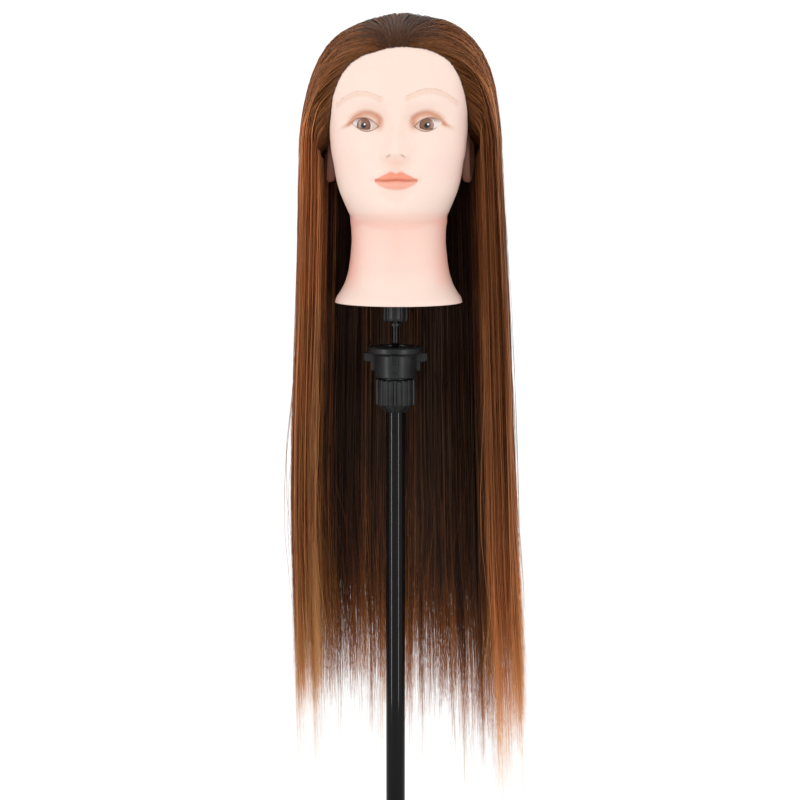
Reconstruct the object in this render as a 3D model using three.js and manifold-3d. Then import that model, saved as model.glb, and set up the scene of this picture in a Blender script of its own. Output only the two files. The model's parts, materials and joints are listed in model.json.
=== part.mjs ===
// Mannequin training head on a telescoping tripod stand.
// Millimetres, +Z up, the face looks along -Y and the feet stand on z = 0.
import * as THREE from 'three';
import { mergeVertices } from 'three/addons/utils/BufferGeometryUtils.js';
import Module from 'manifold-3d';

const wasm = await Module();
wasm.setup();

// ---------- driving dimensions ----------
const GAP = 0.3; // between neighbouring pieces

// tripod
const LEG_ANGLES = [90, 210, 330]; // degrees about +Z
const FOOT_REACH = 318; // mast axis to the middle of a foot
const FOOT_R = 16; // rubber ball foot
const FOOT_FLAT_R = 8; // flat worn on its underside
const LEG_R = 8;
const LEG_WALL = 1.4;
const PIVOT_REACH = 34; // mast axis to a leg's hinge pin
const PIVOT_Z = 290;
const PIN_R = 3;
const KNUCKLE_R = 9.5;
const KNUCKLE_HALF = 6; // half its thickness
const KNUCKLE_LEN = 22;
const EAR_T = 5;
const EAR_R = 11;
const HUB_R = 22;
const HUB_Z = [268, 312];

// mast
const LOWER_R = 12.5;
const LOWER_WALL = 1.5;
const LOWER_Z = [62, 412];
const UPPER_R = 9.6;
const UPPER_WALL = 1.2;
const UPPER_Z = [215.4, 866];
const CLAMP_Z = [386, 430];
const CLAMP_R = 18;
const KNOB_Z = 420;
const KNOB_Y = [-50, -34];
const KNOB_R = 15;
const KNOB_LOBES = 5;
const KNOB_LOBE_RISE = 2.2;
const STUD_R = 3;
const BOSS_R = 8; // threaded boss that carries the knob's stud
const BOSS_Y = [-30, -14];
const SCREW_R = 2.4;
const SCREW_HEAD_R = 5;
const SCREW_Y = [12.8, 22.3, 26.5]; // tip, underside of the head, top of the head

// head holder
const COLLET_Z = 850;
const COLLET_R = 15;
const CUP_STEM_Z = 840; // foot of the cup's stem inside the upper tube
const NUT_Z = [856.9, 883.3];
const NUT_R = 20;
const NUT_FLUTES = 16;
const NUT_BORE = 13.2;
const CUP_R = 16.6;
const CUP_Z = [884, 911.1];
const RING_Z = [885.2, 916];
const RING_R = 21.4;
const RING_FLANGE_R = 27.5;
const FLANGE_Z = [908, 910]; // where the ring starts to widen and where it is widest
const LUG_REACH = 31;
const LUG_COUNT = 4;
const LUG_HALF = 4;
const LUG_Z = [901, 911];
const GUSSET_REACH = 24.5;
const GUSSET_HALF = 3.2;
const GUSSET_Z = [892, 902];
const TILT_Z = 900;
const BARREL_R = 8.9;
const BARREL_HALF = 10.2;
const TILT_PIN_R = 2.5;
const ROD_R = 3.5;
const ROD_COLLAR_R = 5;
const ROD_COLLAR_Z = [936, 939.4];
const ROD_ENTRY = 35; // depth of the rod inside the plug
const PLUG_Z = [941, 1018];
const PLUG_R = 12;
const PLUG_RIBS = 8;
const RIB_RISE = 0.9;

// head
const NECK_Z = 960; // open lower edge of the neck
const SKIN_T = 5;
const CROWN_Z = 1236;
const HEAD_X = 3; // the moulding sits a little to the left of its socket
const EYE_X = 30;
const EYE_Y = -66.5;
const EYE_Z = 1137.2;
const EYE_SIZE = [15, 9, 12]; // half extents
const EAR_PLACE = [68, 14, 1108];
const EAR_SIZE = [7, 14, 27]; // half extents
const SOCKET_R = 16;
const SOCKET_Z = [960.8, 1022];
const PLATE_Z = [961, 964];
// height, half width, front and back of the skin
const HEAD_SECTIONS = [
  [960, 63.5, -60, 66],
  [967, 60.5, -58, 64],
  [980, 53, -52, 60],
  [1000, 48.5, -47.5, 58],
  [1030, 47.5, -46.5, 60],
  [1041, 48, -58, 65],
  [1049, 49, -81, 71],
  [1060, 52, -88, 78],
  [1082, 60, -89, 88],
  [1110, 66.5, -88, 97],
  [1140, 69.5, -85, 102],
  [1165, 72, -88, 103],
  [1190, 71.5, -86, 97],
  [1210, 64, -75, 85],
  [1224, 50, -57, 67],
  [1232, 31, -36, 45],
  [CROWN_Z, 6, -5, 14],
];
const HEAD_MID_Y = 6;

// hair: height, lowest and highest x, front and back of its outside
const HAIR_SPLIT_Z = 1075; // the cap ends and the hanging lengths begin
const HAIR_TOP_Z = 1248;
const CAP_POINTS = 28;
const HAIR_SECTIONS = [
  [HAIR_SPLIT_Z, -95.5, 107, -84, 113],
  [1120, -94.5, 104.5, -86, 116],
  [1162, -88.5, 100.5, -86, 114],
  [1182, -83.5, 96.5, -84, 110],
  [1202, -75.5, 89.5, -79, 102],
  [1222, -60.5, 75.5, -62, 84],
  [1238, -37, 54, -36, 54],
  [HAIR_TOP_Z, -6, 22, -2, 18],
];
// side view of the face that the hair leaves open
const FACE_OPENING = [
  [-200, 1228],
  [-74, 1214],
  [-24, 1137],
  [-14, 1100],
  [-14, 1000],
  [-200, 1000],
];
const HAIR_END_Z = 600;
const HAIR_WALL = 12;
const LENGTHS_MID = [4, 12];
const LENGTHS_TOP = { right: 99, left: 103, back: 100 }; // radii
const LENGTHS_END = { right: 107, left: 120, back: 104 };
const LENGTH_ARCS = {
  hair_left: [-14, 38],
  hair_back: [40, 140],
  hair_right: [142, 194],
};

// ---------- materials ----------
function material(color, roughness, metalness = 0) {
  return new THREE.MeshStandardMaterial({ color, roughness, metalness });
}

const glossBlack = material(0x101012, 0.18, 0.2);
const blackPlastic = material(0x1c1c1e, 0.55);
const greyPlastic = material(0x55565a, 0.6);
const blackRubber = material(0x161616, 0.9);
const steel = material(0xb9bcc0, 0.3, 1);
const vinyl = material(0xf8dccb, 0.5);
const foam = material(0xe9e3d2, 0.9);
const eyeball = material(0xf2f0ea, 0.2);
const hair = material(0x4a2a19, 0.6);

// ---------- closed solids and booleans ----------
function signedVolume(position, index) {
  const [a, b, c] = [new THREE.Vector3(), new THREE.Vector3(), new THREE.Vector3()];
  let sum = 0;
  for (let i = 0; i < index.length; i += 3) {
    a.fromBufferAttribute(position, index[i]);
    b.fromBufferAttribute(position, index[i + 1]);
    c.fromBufferAttribute(position, index[i + 2]);
    sum += a.dot(b.cross(c));
  }
  return sum / 6;
}

// One closed body: positions only, shared vertices merged, faces pointing out.
function solid(source) {
  const bare = source.index ? source.clone() : mergeVertices(source);
  for (const name of Object.keys(bare.attributes)) {
    if (name !== 'position') bare.deleteAttribute(name);
  }
  const merged = mergeVertices(bare, 1e-4);
  const kept = [];
  const all = merged.index.array;
  for (let i = 0; i < all.length; i += 3) {
    const [a, b, c] = [all[i], all[i + 1], all[i + 2]];
    if (a !== b && b !== c && c !== a) kept.push(a, b, c);
  }
  if (signedVolume(merged.attributes.position, kept) < 0) kept.reverse();
  merged.setIndex(kept);
  return merged;
}

function toManifold(geometry) {
  const vertProperties = Float32Array.from(geometry.attributes.position.array);
  const triVerts = Uint32Array.from(geometry.index.array);
  return new wasm.Manifold(new wasm.Mesh({ numProp: 3, vertProperties, triVerts }));
}

function fromManifold(body) {
  const mesh = body.getMesh();
  const geometry = new THREE.BufferGeometry();
  geometry.setAttribute('position', new THREE.BufferAttribute(Float32Array.from(mesh.vertProperties), 3));
  geometry.setIndex(Array.from(mesh.triVerts));
  return geometry;
}

function join(...geometries) {
  return fromManifold(geometries.map(toManifold).reduce((sum, next) => sum.add(next)));
}

function cut(base, ...tools) {
  return fromManifold(tools.map(toManifold).reduce((left, tool) => left.subtract(tool), toManifold(base)));
}

// ---------- shapes ----------
// A turned piece about +Z from [radius, height] pairs, closed on itself or on the axis.
function turned(profile, segments = 24) {
  const points = profile.map(([r, z]) => new THREE.Vector2(r, z));
  if (profile[0][0] > 0 || profile.at(-1)[0] > 0) points.push(points[0].clone());
  return solid(new THREE.LatheGeometry(points, segments).rotateX(Math.PI / 2));
}

function tube(outer, inner, low, high, segments = 24) {
  return turned([[outer, low], [outer, high], [inner, high], [inner, low]], segments);
}

function rod(radius, low, high, segments = 16) {
  return turned([[0, low], [radius, low], [radius, high], [0, high]], segments);
}

function along(axis, geometry) {
  if (axis === 'x') geometry.rotateY(Math.PI / 2);
  if (axis === 'y') geometry.rotateX(-Math.PI / 2);
  return geometry;
}

function block(x, y, z) {
  const geometry = new THREE.BoxGeometry(x[1] - x[0], y[1] - y[0], z[1] - z[0]);
  geometry.translate((x[0] + x[1]) / 2, (y[0] + y[1]) / 2, (z[0] + z[1]) / 2);
  return solid(geometry);
}

function ball(radius, x, y, z, segments = 16) {
  return solid(new THREE.SphereGeometry(radius, segments, segments / 2).translate(x, y, z));
}

// An outline of radius(angle) extruded up +Z.
function lobed(radius, count, low, high) {
  const points = Array.from({ length: count }, (_, i) => {
    const angle = (i / count) * 2 * Math.PI;
    return new THREE.Vector2(Math.cos(angle), Math.sin(angle)).multiplyScalar(radius(angle));
  });
  const body = new THREE.ExtrudeGeometry(new THREE.Shape(points), { depth: high - low, bevelEnabled: false });
  return solid(body.translate(0, 0, low));
}

// A skin through closed rings of equal point count, capped by a fan at each end.
function lofted(rings) {
  const count = rings[0].length;
  const vertices = rings.flat();
  const index = [];
  for (let r = 0; r + 1 < rings.length; r++) {
    for (let i = 0; i < count; i++) {
      const j = (i + 1) % count;
      const [a, b] = [r * count, (r + 1) * count];
      index.push(a + i, a + j, b + j, a + i, b + j, b + i);
    }
  }
  const ends = [[rings[0], 0, true], [rings.at(-1), (rings.length - 1) * count, false]];
  for (const [ring, first, flip] of ends) {
    const hub = ring.reduce((sum, v) => sum.add(v), new THREE.Vector3()).divideScalar(count);
    vertices.push(hub);
    for (let i = 0; i < count; i++) {
      const [a, b] = [first + i, first + ((i + 1) % count)];
      index.push(vertices.length - 1, flip ? b : a, flip ? a : b);
    }
  }
  const geometry = new THREE.BufferGeometry().setFromPoints(vertices);
  geometry.setIndex(index);
  return solid(geometry);
}

// Rows of a table, smoothly interpolated on their first column.
function sectionAt(table, z) {
  const last = table.length - 1;
  const k = Math.min(Math.max(table.findIndex((row) => row[0] > z) - 1, 0), last - 1);
  const at = z >= table[last][0] ? last - 1 : k;
  const [p, q] = [table[at], table[at + 1]];
  const t = THREE.MathUtils.clamp((z - p[0]) / (q[0] - p[0]), 0, 1);
  const before = table[Math.max(at - 1, 0)];
  const after = table[Math.min(at + 2, last)];
  const limit = (rise, a, b) => {
    if (a * b <= 0) return 0;
    return Math.sign(rise) * Math.min(Math.abs(rise), 2.5 * Math.abs(a), 2.5 * Math.abs(b));
  };
  return p.slice(1).map((value, i) => {
    const span = q[0] - p[0];
    const here = (q[i + 1] - value) / span;
    const prior = at > 0 ? (value - before[i + 1]) / (p[0] - before[0]) : here;
    const next = at + 2 <= last ? (after[i + 1] - q[i + 1]) / (after[0] - q[0]) : here;
    const m0 = limit((prior + here) / 2, prior, here) * span;
    const m1 = limit((here + next) / 2, here, next) * span;
    const [t2, t3] = [t * t, t * t * t];
    const ends = (2 * t3 - 3 * t2 + 1) * value + (3 * t2 - 2 * t3) * q[i + 1];
    return ends + (t3 - 2 * t2 + t) * m0 + (t3 - t2) * m1;
  });
}

// ---------- tripod ----------
const footZ = Math.sqrt(FOOT_R ** 2 - FOOT_FLAT_R ** 2);
const legSplay = Math.atan2(FOOT_REACH - PIVOT_REACH, PIVOT_Z - footZ);
const legLength = Math.hypot(FOOT_REACH - PIVOT_REACH, PIVOT_Z - footZ);

// Leg pieces run along their own +Z, which points from the hinge pin to the foot.
function placeOnLeg(geometry) {
  return geometry.rotateY(Math.PI - legSplay).translate(PIVOT_REACH, 0, PIVOT_Z);
}

function legKnuckle() {
  const outline = new THREE.Shape();
  outline.absarc(0, 0, KNUCKLE_R, 0, Math.PI, false);
  outline.lineTo(-LEG_R, -KNUCKLE_LEN);
  outline.lineTo(LEG_R, -KNUCKLE_LEN);
  const settings = { depth: 2 * KNUCKLE_HALF, bevelEnabled: false, curveSegments: 6 };
  const cheek = new THREE.ExtrudeGeometry(outline, settings);
  cheek.translate(0, 0, -KNUCKLE_HALF).rotateX(-Math.PI / 2);
  const spigot = rod(LEG_R - LEG_WALL - 0.4, KNUCKLE_LEN - 3, KNUCKLE_LEN + 28, 16);
  const pinHole = along('y', rod(PIN_R + GAP, -20, 20, 12));
  return placeOnLeg(cut(join(solid(cheek), spigot), pinHole));
}

function legTube() {
  return placeOnLeg(tube(LEG_R, LEG_R - LEG_WALL, KNUCKLE_LEN + GAP, legLength - 1, 16));
}

function foot() {
  const sleeve = rod(LEG_R + 3.2, legLength - 40, legLength);
  const body = join(sleeve, ball(FOOT_R, 0, 0, legLength));
  const bore = rod(LEG_R + GAP, legLength - 60, legLength - 1 + GAP);
  return cut(placeOnLeg(cut(body, bore)), block([0, 600], [-50, 50], [-50, 0]));
}

function legPin() {
  const inner = KNUCKLE_HALF + 0.5;
  const head = inner + EAR_T + GAP;
  const pin = turned([
    [0, -head - 2.4], [4, -head - 2.4], [5, -head - 1.2], [5, -head], [PIN_R, -head],
    [PIN_R, head], [5, head], [5, head + 1.2], [4, head + 2.4], [0, head + 2.4],
  ], 16);
  return along('y', pin).translate(PIVOT_REACH, 0, PIVOT_Z);
}

function legHub() {
  let hub = turned([
    [LOWER_R + GAP, HUB_Z[0]], [HUB_R - 2, HUB_Z[0]], [HUB_R, HUB_Z[0] + 2],
    [HUB_R, HUB_Z[1] - 3], [HUB_R - 3, HUB_Z[1]], [LOWER_R + GAP, HUB_Z[1]],
  ], 28);
  const outline = new THREE.Shape();
  outline.moveTo(HUB_R - 4, PIVOT_Z + EAR_R);
  outline.lineTo(HUB_R - 4, PIVOT_Z - EAR_R);
  outline.absarc(PIVOT_REACH, PIVOT_Z, EAR_R, -Math.PI / 2, Math.PI / 2, false);
  const pinHole = along('y', rod(PIN_R + GAP, -20, 20, 12)).translate(PIVOT_REACH, 0, PIVOT_Z);
  for (const degrees of LEG_ANGLES) {
    for (const side of [-KNUCKLE_HALF - 0.5 - EAR_T, KNUCKLE_HALF + 0.5]) {
      const ear = new THREE.ExtrudeGeometry(outline, { depth: EAR_T, bevelEnabled: false, curveSegments: 6 });
      ear.rotateX(Math.PI / 2).translate(0, side + EAR_T, 0);
      const turn = THREE.MathUtils.degToRad(degrees);
      hub = join(hub, cut(solid(ear), pinHole).rotateZ(turn));
    }
  }
  const screwHole = along('y', rod(SCREW_R + GAP, -40, -5, 16)).translate(0, 0, HUB_Z[1] - 10);
  return cut(hub, screwHole);
}

function hubScrew() {
  const [tip, seat, top] = SCREW_Y;
  const screw = turned([
    [0, tip], [SCREW_R, tip], [SCREW_R, seat], [SCREW_HEAD_R, seat],
    [SCREW_HEAD_R, top - 1.2], [SCREW_HEAD_R - 1, top], [0, top],
  ], 16);
  return along('y', screw).rotateZ(Math.PI).translate(0, 0, HUB_Z[1] - 10);
}

// ---------- mast ----------
function endCap() {
  const low = LOWER_Z[0];
  const inside = LOWER_R - LOWER_WALL - GAP;
  return turned([
    [0, low - 4], [LOWER_R - 1.5, low - 4], [LOWER_R, low - 2.5], [LOWER_R, low - GAP],
    [inside, low - GAP], [inside, low + 12], [0, low + 12],
  ]);
}

function tubePlug() {
  const low = UPPER_Z[0];
  const slide = LOWER_R - LOWER_WALL - GAP;
  const inside = UPPER_R - UPPER_WALL - GAP;
  return turned([
    [0, low - 10], [slide, low - 10], [slide, low - GAP],
    [inside, low - GAP], [inside, low + 22], [0, low + 22],
  ]);
}

function clampCollar() {
  const [low, high] = CLAMP_Z;
  const step = LOWER_Z[1] + GAP;
  const sleeve = turned([
    [LOWER_R + GAP, low], [CLAMP_R - 2.5, low], [CLAMP_R, low + 2.5], [CLAMP_R, high - 2.5],
    [CLAMP_R - 2.5, high], [UPPER_R + 0.5, high], [UPPER_R + 0.5, step], [LOWER_R + GAP, step],
  ], 28);
  const boss = cut(
    along('y', rod(BOSS_R, BOSS_Y[0], BOSS_Y[1], 24)),
    rod(UPPER_R + 3, -20, 20, 24),
  ).translate(0, 0, KNOB_Z);
  const studHole = along('y', rod(STUD_R + GAP, -40, 0, 16)).translate(0, 0, KNOB_Z);
  return cut(join(sleeve, boss), studHole);
}

function clampKnob() {
  const length = KNOB_Y[1] - KNOB_Y[0];
  const star = lobed((a) => KNOB_R + KNOB_LOBE_RISE * Math.cos(KNOB_LOBES * a), 50, 0, length);
  const hole = rod(STUD_R + GAP, 6, length + 1, 16);
  return along('y', cut(star, hole)).translate(0, KNOB_Y[0], KNOB_Z);
}

function clampStud() {
  return along('y', rod(STUD_R, KNOB_Y[0] + 6 + GAP, -UPPER_R - 0.4, 16)).translate(0, 0, KNOB_Z);
}

// ---------- head holder ----------
function collet() {
  const shoulder = NUT_Z[0] - GAP;
  const bore = UPPER_R + GAP;
  return turned([
    [bore, COLLET_Z], [bore + 0.6, COLLET_Z], [COLLET_R, shoulder - 0.6], [COLLET_R, shoulder],
    [NUT_BORE - 0.5, shoulder], [NUT_BORE - 0.5, UPPER_Z[1]], [bore, UPPER_Z[1]],
  ], 28);
}

function flutedNut() {
  const flute = (a) => NUT_R - 1.7 * Math.max(0, Math.cos(NUT_FLUTES * a)) ** 0.7;
  const body = lobed(flute, NUT_FLUTES * 5, NUT_Z[0], NUT_Z[1]);
  return cut(body, rod(NUT_BORE, NUT_Z[0] - 1, NUT_Z[1] + 1, 32));
}

function swivelCup() {
  const flange = UPPER_Z[1] + 0.4;
  const stem = UPPER_R - UPPER_WALL - 0.4;
  const body = turned([
    [0, CUP_STEM_Z], [stem, CUP_STEM_Z], [stem, flange],
    [NUT_BORE - 0.5, flange], [NUT_BORE - 0.5, CUP_Z[0]], [CUP_R, CUP_Z[0]], [CUP_R, CUP_Z[1]], [0, CUP_Z[1]],
  ], 28);
  const pocket = block(
    [-BARREL_HALF - 0.4, BARREL_HALF + 0.4],
    [-BARREL_R - 0.5, BARREL_R + 0.5],
    [TILT_Z - BARREL_R - 0.8, CUP_Z[1] + 5],
  );
  const pinHole = along('x', rod(TILT_PIN_R + GAP, -30, 30, 16)).translate(0, 0, TILT_Z);
  return cut(body, pocket, pinHole);
}

function slotCap() {
  const low = CUP_Z[1] + GAP;
  const slot = block([-ROD_R - 0.8, ROD_R + 0.8], [-9.8, 9.8], [low - 5, low + 10]);
  return cut(rod(CUP_R, low, low + 3.2, 36), slot);
}

function tiltPin() {
  return along('x', rod(TILT_PIN_R, -CUP_R + 0.4, CUP_R - 0.4, 16)).translate(0, 0, TILT_Z);
}

function lugRing() {
  const bore = CUP_R + 0.4;
  let ring = turned([
    [bore, RING_Z[0]], [RING_R - 1, RING_Z[0]], [RING_R, RING_Z[0] + 1], [RING_R, FLANGE_Z[0]],
    [RING_FLANGE_R, FLANGE_Z[1]], [RING_FLANGE_R, RING_Z[1] - 1.2],
    [RING_FLANGE_R - 1.2, RING_Z[1]], [bore, RING_Z[1]],
  ], 36);
  for (let i = 0; i < LUG_COUNT; i++) {
    const lug = block([RING_R - 2, LUG_REACH], [-LUG_HALF, LUG_HALF], LUG_Z);
    const gusset = block([RING_R - 2, GUSSET_REACH], [-GUSSET_HALF, GUSSET_HALF], GUSSET_Z);
    ring = join(ring, join(lug, gusset).rotateZ((i * 2 * Math.PI) / LUG_COUNT));
  }
  return cut(ring, rod(bore, RING_Z[0] - 5, RING_Z[1] + 5, 36));
}

function tiltBarrel() {
  const barrel = along('x', rod(BARREL_R, -BARREL_HALF, BARREL_HALF, 24));
  const pinHole = along('x', rod(TILT_PIN_R + GAP, -20, 20, 12));
  const rodHole = rod(ROD_R + GAP, 3.3, 20, 16);
  return cut(barrel, pinHole, rodHole).translate(0, 0, TILT_Z);
}

function plugRod() {
  return rod(ROD_R, TILT_Z + 3.6, PLUG_Z[0] + ROD_ENTRY, 20);
}

function rodCollar() {
  return tube(ROD_COLLAR_R, ROD_R + GAP, ROD_COLLAR_Z[0], ROD_COLLAR_Z[1], 24);
}

function neckPlug() {
  const ring = (z, scale) => Array.from({ length: PLUG_RIBS * 6 }, (_, i) => {
    const angle = (i / (PLUG_RIBS * 6)) * 2 * Math.PI;
    const rib = RIB_RISE * Math.sign(Math.cos(PLUG_RIBS * angle + 0.3));
    const radius = (PLUG_R - RIB_RISE + rib) * scale;
    return new THREE.Vector3(radius * Math.cos(angle), radius * Math.sin(angle), z);
  });
  const [low, high] = PLUG_Z;
  const body = lofted([ring(low, 0.94), ring(low + 3, 1), ring(high - 6, 0.88), ring(high, 0.7)]);
  return cut(body, rod(ROD_R + GAP, low - 5, low + ROD_ENTRY + 1, 16));
}

// ---------- head ----------
const FACE_BUMPS = [
  // height, spread up, spread down, half width, rise
  [1109, 26, 5, 9, 17], // nose
  [1080, 8, 8, 17, 5], // lips
  [1056, 8, 5, 18, 3], // chin
];

function headRing(z, inset, count, sectionZ = z) {
  const [half, front, back] = sectionAt(HEAD_SECTIONS, sectionZ);
  return Array.from({ length: count }, (_, i) => {
    const s = (i / count) * 2 * Math.PI - Math.PI;
    const angle = s - 0.45 * Math.sin(s); // points crowd towards the face
    const reach = Math.cos(angle) > 0 ? HEAD_MID_Y - front : back - HEAD_MID_Y;
    const round = (value) => Math.sign(value) * Math.abs(value) ** 0.9;
    const x = Math.max(half - inset, 1) * round(Math.sin(angle));
    let y = HEAD_MID_Y - Math.max(reach - inset, 1) * round(Math.cos(angle));
    if (inset <= 0 && Math.cos(angle) > 0) {
      for (const [at, up, down, width, rise] of FACE_BUMPS) {
        const fall = (z - at) / (z > at ? up : down);
        y -= rise * Math.exp(-fall * fall - (x / width) ** 2);
      }
    }
    return new THREE.Vector3(HEAD_X + x, y, z);
  });
}

// The section that an offset surface follows, so that floor and crown are thick too.
function offsetZ(z, drop) {
  if (z < 1038) return z;
  return z + THREE.MathUtils.lerp(-drop, drop, THREE.MathUtils.smoothstep(z, 1100, 1180));
}

function spaced(low, high, count) {
  return Array.from({ length: count }, (_, i) => low + ((high - low) * i) / (count - 1));
}

const RING_POINTS = 30;
const INNER_HEIGHTS = [967, 976, 990, 1036, 1046, 1054, ...spaced(1066, 1196, 6), 1214];

function headSolid(inset, drop, heights) {
  return lofted(heights.map((z) => headRing(z, inset, RING_POINTS, offsetZ(z, drop))));
}

function ear(side, grow) {
  const [x, y, z] = EAR_PLACE;
  const shell = new THREE.SphereGeometry(1, 12, 8);
  shell.scale(...EAR_SIZE.map((half) => half + grow)).rotateX(-0.2).rotateZ(side * 0.35);
  return solid(shell.translate(HEAD_X + side * x, y, z));
}

function eye(side, grow = 0) {
  const shell = new THREE.SphereGeometry(1, 20, 10);
  shell.scale(...EYE_SIZE.map((half) => half + grow));
  return solid(shell.translate(HEAD_X + side * EYE_X, EYE_Y, EYE_Z));
}

function headSkin() {
  const outerHeights = [
    NECK_Z, 967, 976, 990, 1010, 1036, 1042, 1047, ...spaced(1052, 1116, 9), ...spaced(1128, 1188, 6),
    1200, 1212, 1222, 1230, CROWN_Z,
  ];
  const outside = lofted(outerHeights.map((z) => headRing(z, 0, RING_POINTS)));
  const inside = headSolid(SKIN_T, 5, [NECK_Z - 5, NECK_Z, ...INNER_HEIGHTS, CROWN_Z - SKIN_T]);
  const eyePockets = [-1, 1].map((side) => eye(side, GAP));
  return cut(join(outside, ear(-1, 0), ear(1, 0)), inside, ...eyePockets);
}

function foamCore() {
  const heights = [PLATE_Z[1] + 2 * GAP, ...INNER_HEIGHTS, CROWN_Z - SKIN_T - 3];
  const body = lofted(heights.map((z) => headRing(z, SKIN_T + 2.5, 20, offsetZ(z, 8))));
  const socketHole = rod(SOCKET_R + 0.4, 900, SOCKET_Z[1] + 1, 32);
  const eyePockets = [-1, 1].map((side) => eye(side, 3 * GAP));
  return cut(body, socketHole, ...eyePockets);
}

function neckSocket() {
  return tube(SOCKET_R, PLUG_R + 0.5, SOCKET_Z[0], SOCKET_Z[1], 32);
}

function neckBasePlate() {
  const disc = lofted(PLATE_Z.map((z) => headRing(z, SKIN_T + 0.6, RING_POINTS, NECK_Z + 8)));
  return cut(disc, rod(SOCKET_R + 0.4, 900, 1000, 32));
}

// ---------- hair ----------
function hairCap() {
  const rings = spaced(HAIR_SPLIT_Z, HAIR_TOP_Z, 10).map((z) => {
    const [low, high, front, back] = sectionAt(HAIR_SECTIONS, z);
    const [cx, cy] = [(low + high) / 2, (front + back) / 2];
    return Array.from({ length: CAP_POINTS }, (_, i) => {
      const angle = (i / CAP_POINTS) * 2 * Math.PI;
      return new THREE.Vector3(
        cx + ((high - low) / 2) * Math.cos(angle),
        cy + ((back - front) / 2) * Math.sin(angle),
        z,
      );
    });
  });
  const clearHead = headSolid(-2.5, -2, [1040, 1056, ...spaced(1070, 1198, 7), 1212, 1223, 1231, CROWN_Z + 2]);
  const opening = new THREE.Shape(FACE_OPENING.map(([y, z]) => new THREE.Vector2(y, z)));
  const face = new THREE.ExtrudeGeometry(opening, { depth: 400, bevelEnabled: false });
  face.rotateX(Math.PI / 2).rotateZ(Math.PI / 2).translate(-200, 0, 0);
  return cut(lofted(rings), clearHead, solid(face), ear(-1, 1), ear(1, 1));
}

// A hanging length of hair: an upright wall along an arc about the head.
function hairLength([start, end]) {
  const high = HAIR_SPLIT_Z - 0.5;
  const radiusAt = (angle, z) => {
    const t = (high - z) / (high - HAIR_END_Z);
    const at = (sizes) => {
      const side = Math.cos(angle) < 0 ? sizes.right : sizes.left;
      return THREE.MathUtils.lerp(side, sizes.back, Math.max(0, Math.sin(angle)) ** 2);
    };
    return THREE.MathUtils.lerp(at(LENGTHS_TOP), at(LENGTHS_END), t);
  };
  const angles = spaced(start, end, Math.round((end - start) / 8) + 1).map(THREE.MathUtils.degToRad);
  const point = (angle, z, inset) => {
    const r = radiusAt(angle, z) - inset;
    return new THREE.Vector3(LENGTHS_MID[0] + r * Math.cos(angle), LENGTHS_MID[1] + r * Math.sin(angle), z);
  };
  const rows = spaced(HAIR_END_Z, high, 6).map((z) => [
    ...angles.map((a) => point(a, z, 0)),
    ...angles.toReversed().map((a) => point(a, z, HAIR_WALL)),
  ]);
  return bandLoft(rows, angles.length);
}

// Rows whose first half is the outside of a band and whose second half is its inside.
function bandLoft(rows, half) {
  const count = 2 * half;
  const index = [];
  for (let r = 0; r + 1 < rows.length; r++) {
    for (let i = 0; i < count; i++) {
      const j = (i + 1) % count;
      const [a, b] = [r * count, (r + 1) * count];
      index.push(a + i, a + j, b + j, a + i, b + j, b + i);
    }
  }
  for (const [first, flip] of [[0, true], [(rows.length - 1) * count, false]]) {
    for (let i = 0; i + 1 < half; i++) {
      const quad = [first + i, first + i + 1, first + count - 2 - i, first + count - 1 - i];
      const [a, b, c, d] = flip ? quad.reverse() : quad;
      index.push(a, b, c, a, c, d);
    }
  }
  const geometry = new THREE.BufferGeometry().setFromPoints(rows.flat());
  geometry.setIndex(index);
  return solid(geometry);
}

// ---------- assembly ----------
function add(parent, name, geometry, finish) {
  const mesh = new THREE.Mesh(geometry, finish);
  mesh.name = name;
  parent.add(mesh);
}

const stand = new THREE.Group();
add(stand, 'lower_tube', tube(LOWER_R, LOWER_R - LOWER_WALL, LOWER_Z[0], LOWER_Z[1]), glossBlack);
add(stand, 'end_cap', endCap(), blackRubber);
add(stand, 'leg_hub', legHub(), blackPlastic);
add(stand, 'hub_screw', hubScrew(), steel);
add(stand, 'clamp_collar', clampCollar(), blackPlastic);
add(stand, 'clamp_knob', clampKnob(), blackPlastic);
add(stand, 'clamp_stud', clampStud(), steel);
LEG_ANGLES.forEach((degrees, i) => {
  const leg = new THREE.Group();
  leg.rotation.z = THREE.MathUtils.degToRad(degrees);
  add(leg, `leg_tube_${i + 1}`, legTube(), glossBlack);
  add(leg, `leg_knuckle_${i + 1}`, legKnuckle(), blackPlastic);
  add(leg, `leg_pin_${i + 1}`, legPin(), steel);
  add(leg, `foot_${i + 1}`, foot(), blackRubber);
  stand.add(leg);
});

const mast = new THREE.Group();
add(mast, 'upper_tube', tube(UPPER_R, UPPER_R - UPPER_WALL, UPPER_Z[0], UPPER_Z[1]), glossBlack);
add(mast, 'tube_plug', tubePlug(), blackPlastic);
add(mast, 'collet', collet(), blackPlastic);
add(mast, 'fluted_nut', flutedNut(), blackPlastic);
add(mast, 'swivel_cup', swivelCup(), blackPlastic);
add(mast, 'slot_cap', slotCap(), blackPlastic);
add(mast, 'tilt_pin', tiltPin(), steel);
add(mast, 'lug_ring', lugRing(), blackPlastic);

const head = new THREE.Group();
add(head, 'tilt_barrel', tiltBarrel(), blackPlastic);
add(head, 'plug_rod', plugRod(), glossBlack);
add(head, 'rod_collar', rodCollar(), blackPlastic);
add(head, 'neck_plug', neckPlug(), blackPlastic);
add(head, 'neck_socket', neckSocket(), greyPlastic);
add(head, 'neck_base_plate', neckBasePlate(), greyPlastic);
add(head, 'foam_core', foamCore(), foam);
add(head, 'head_skin', headSkin(), vinyl);
add(head, 'eye_left', eye(1), eyeball);
add(head, 'eye_right', eye(-1), eyeball);
add(head, 'hair_cap', hairCap(), hair);
for (const [name, arc] of Object.entries(LENGTH_ARCS)) add(head, name, hairLength(arc), hair);

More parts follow.
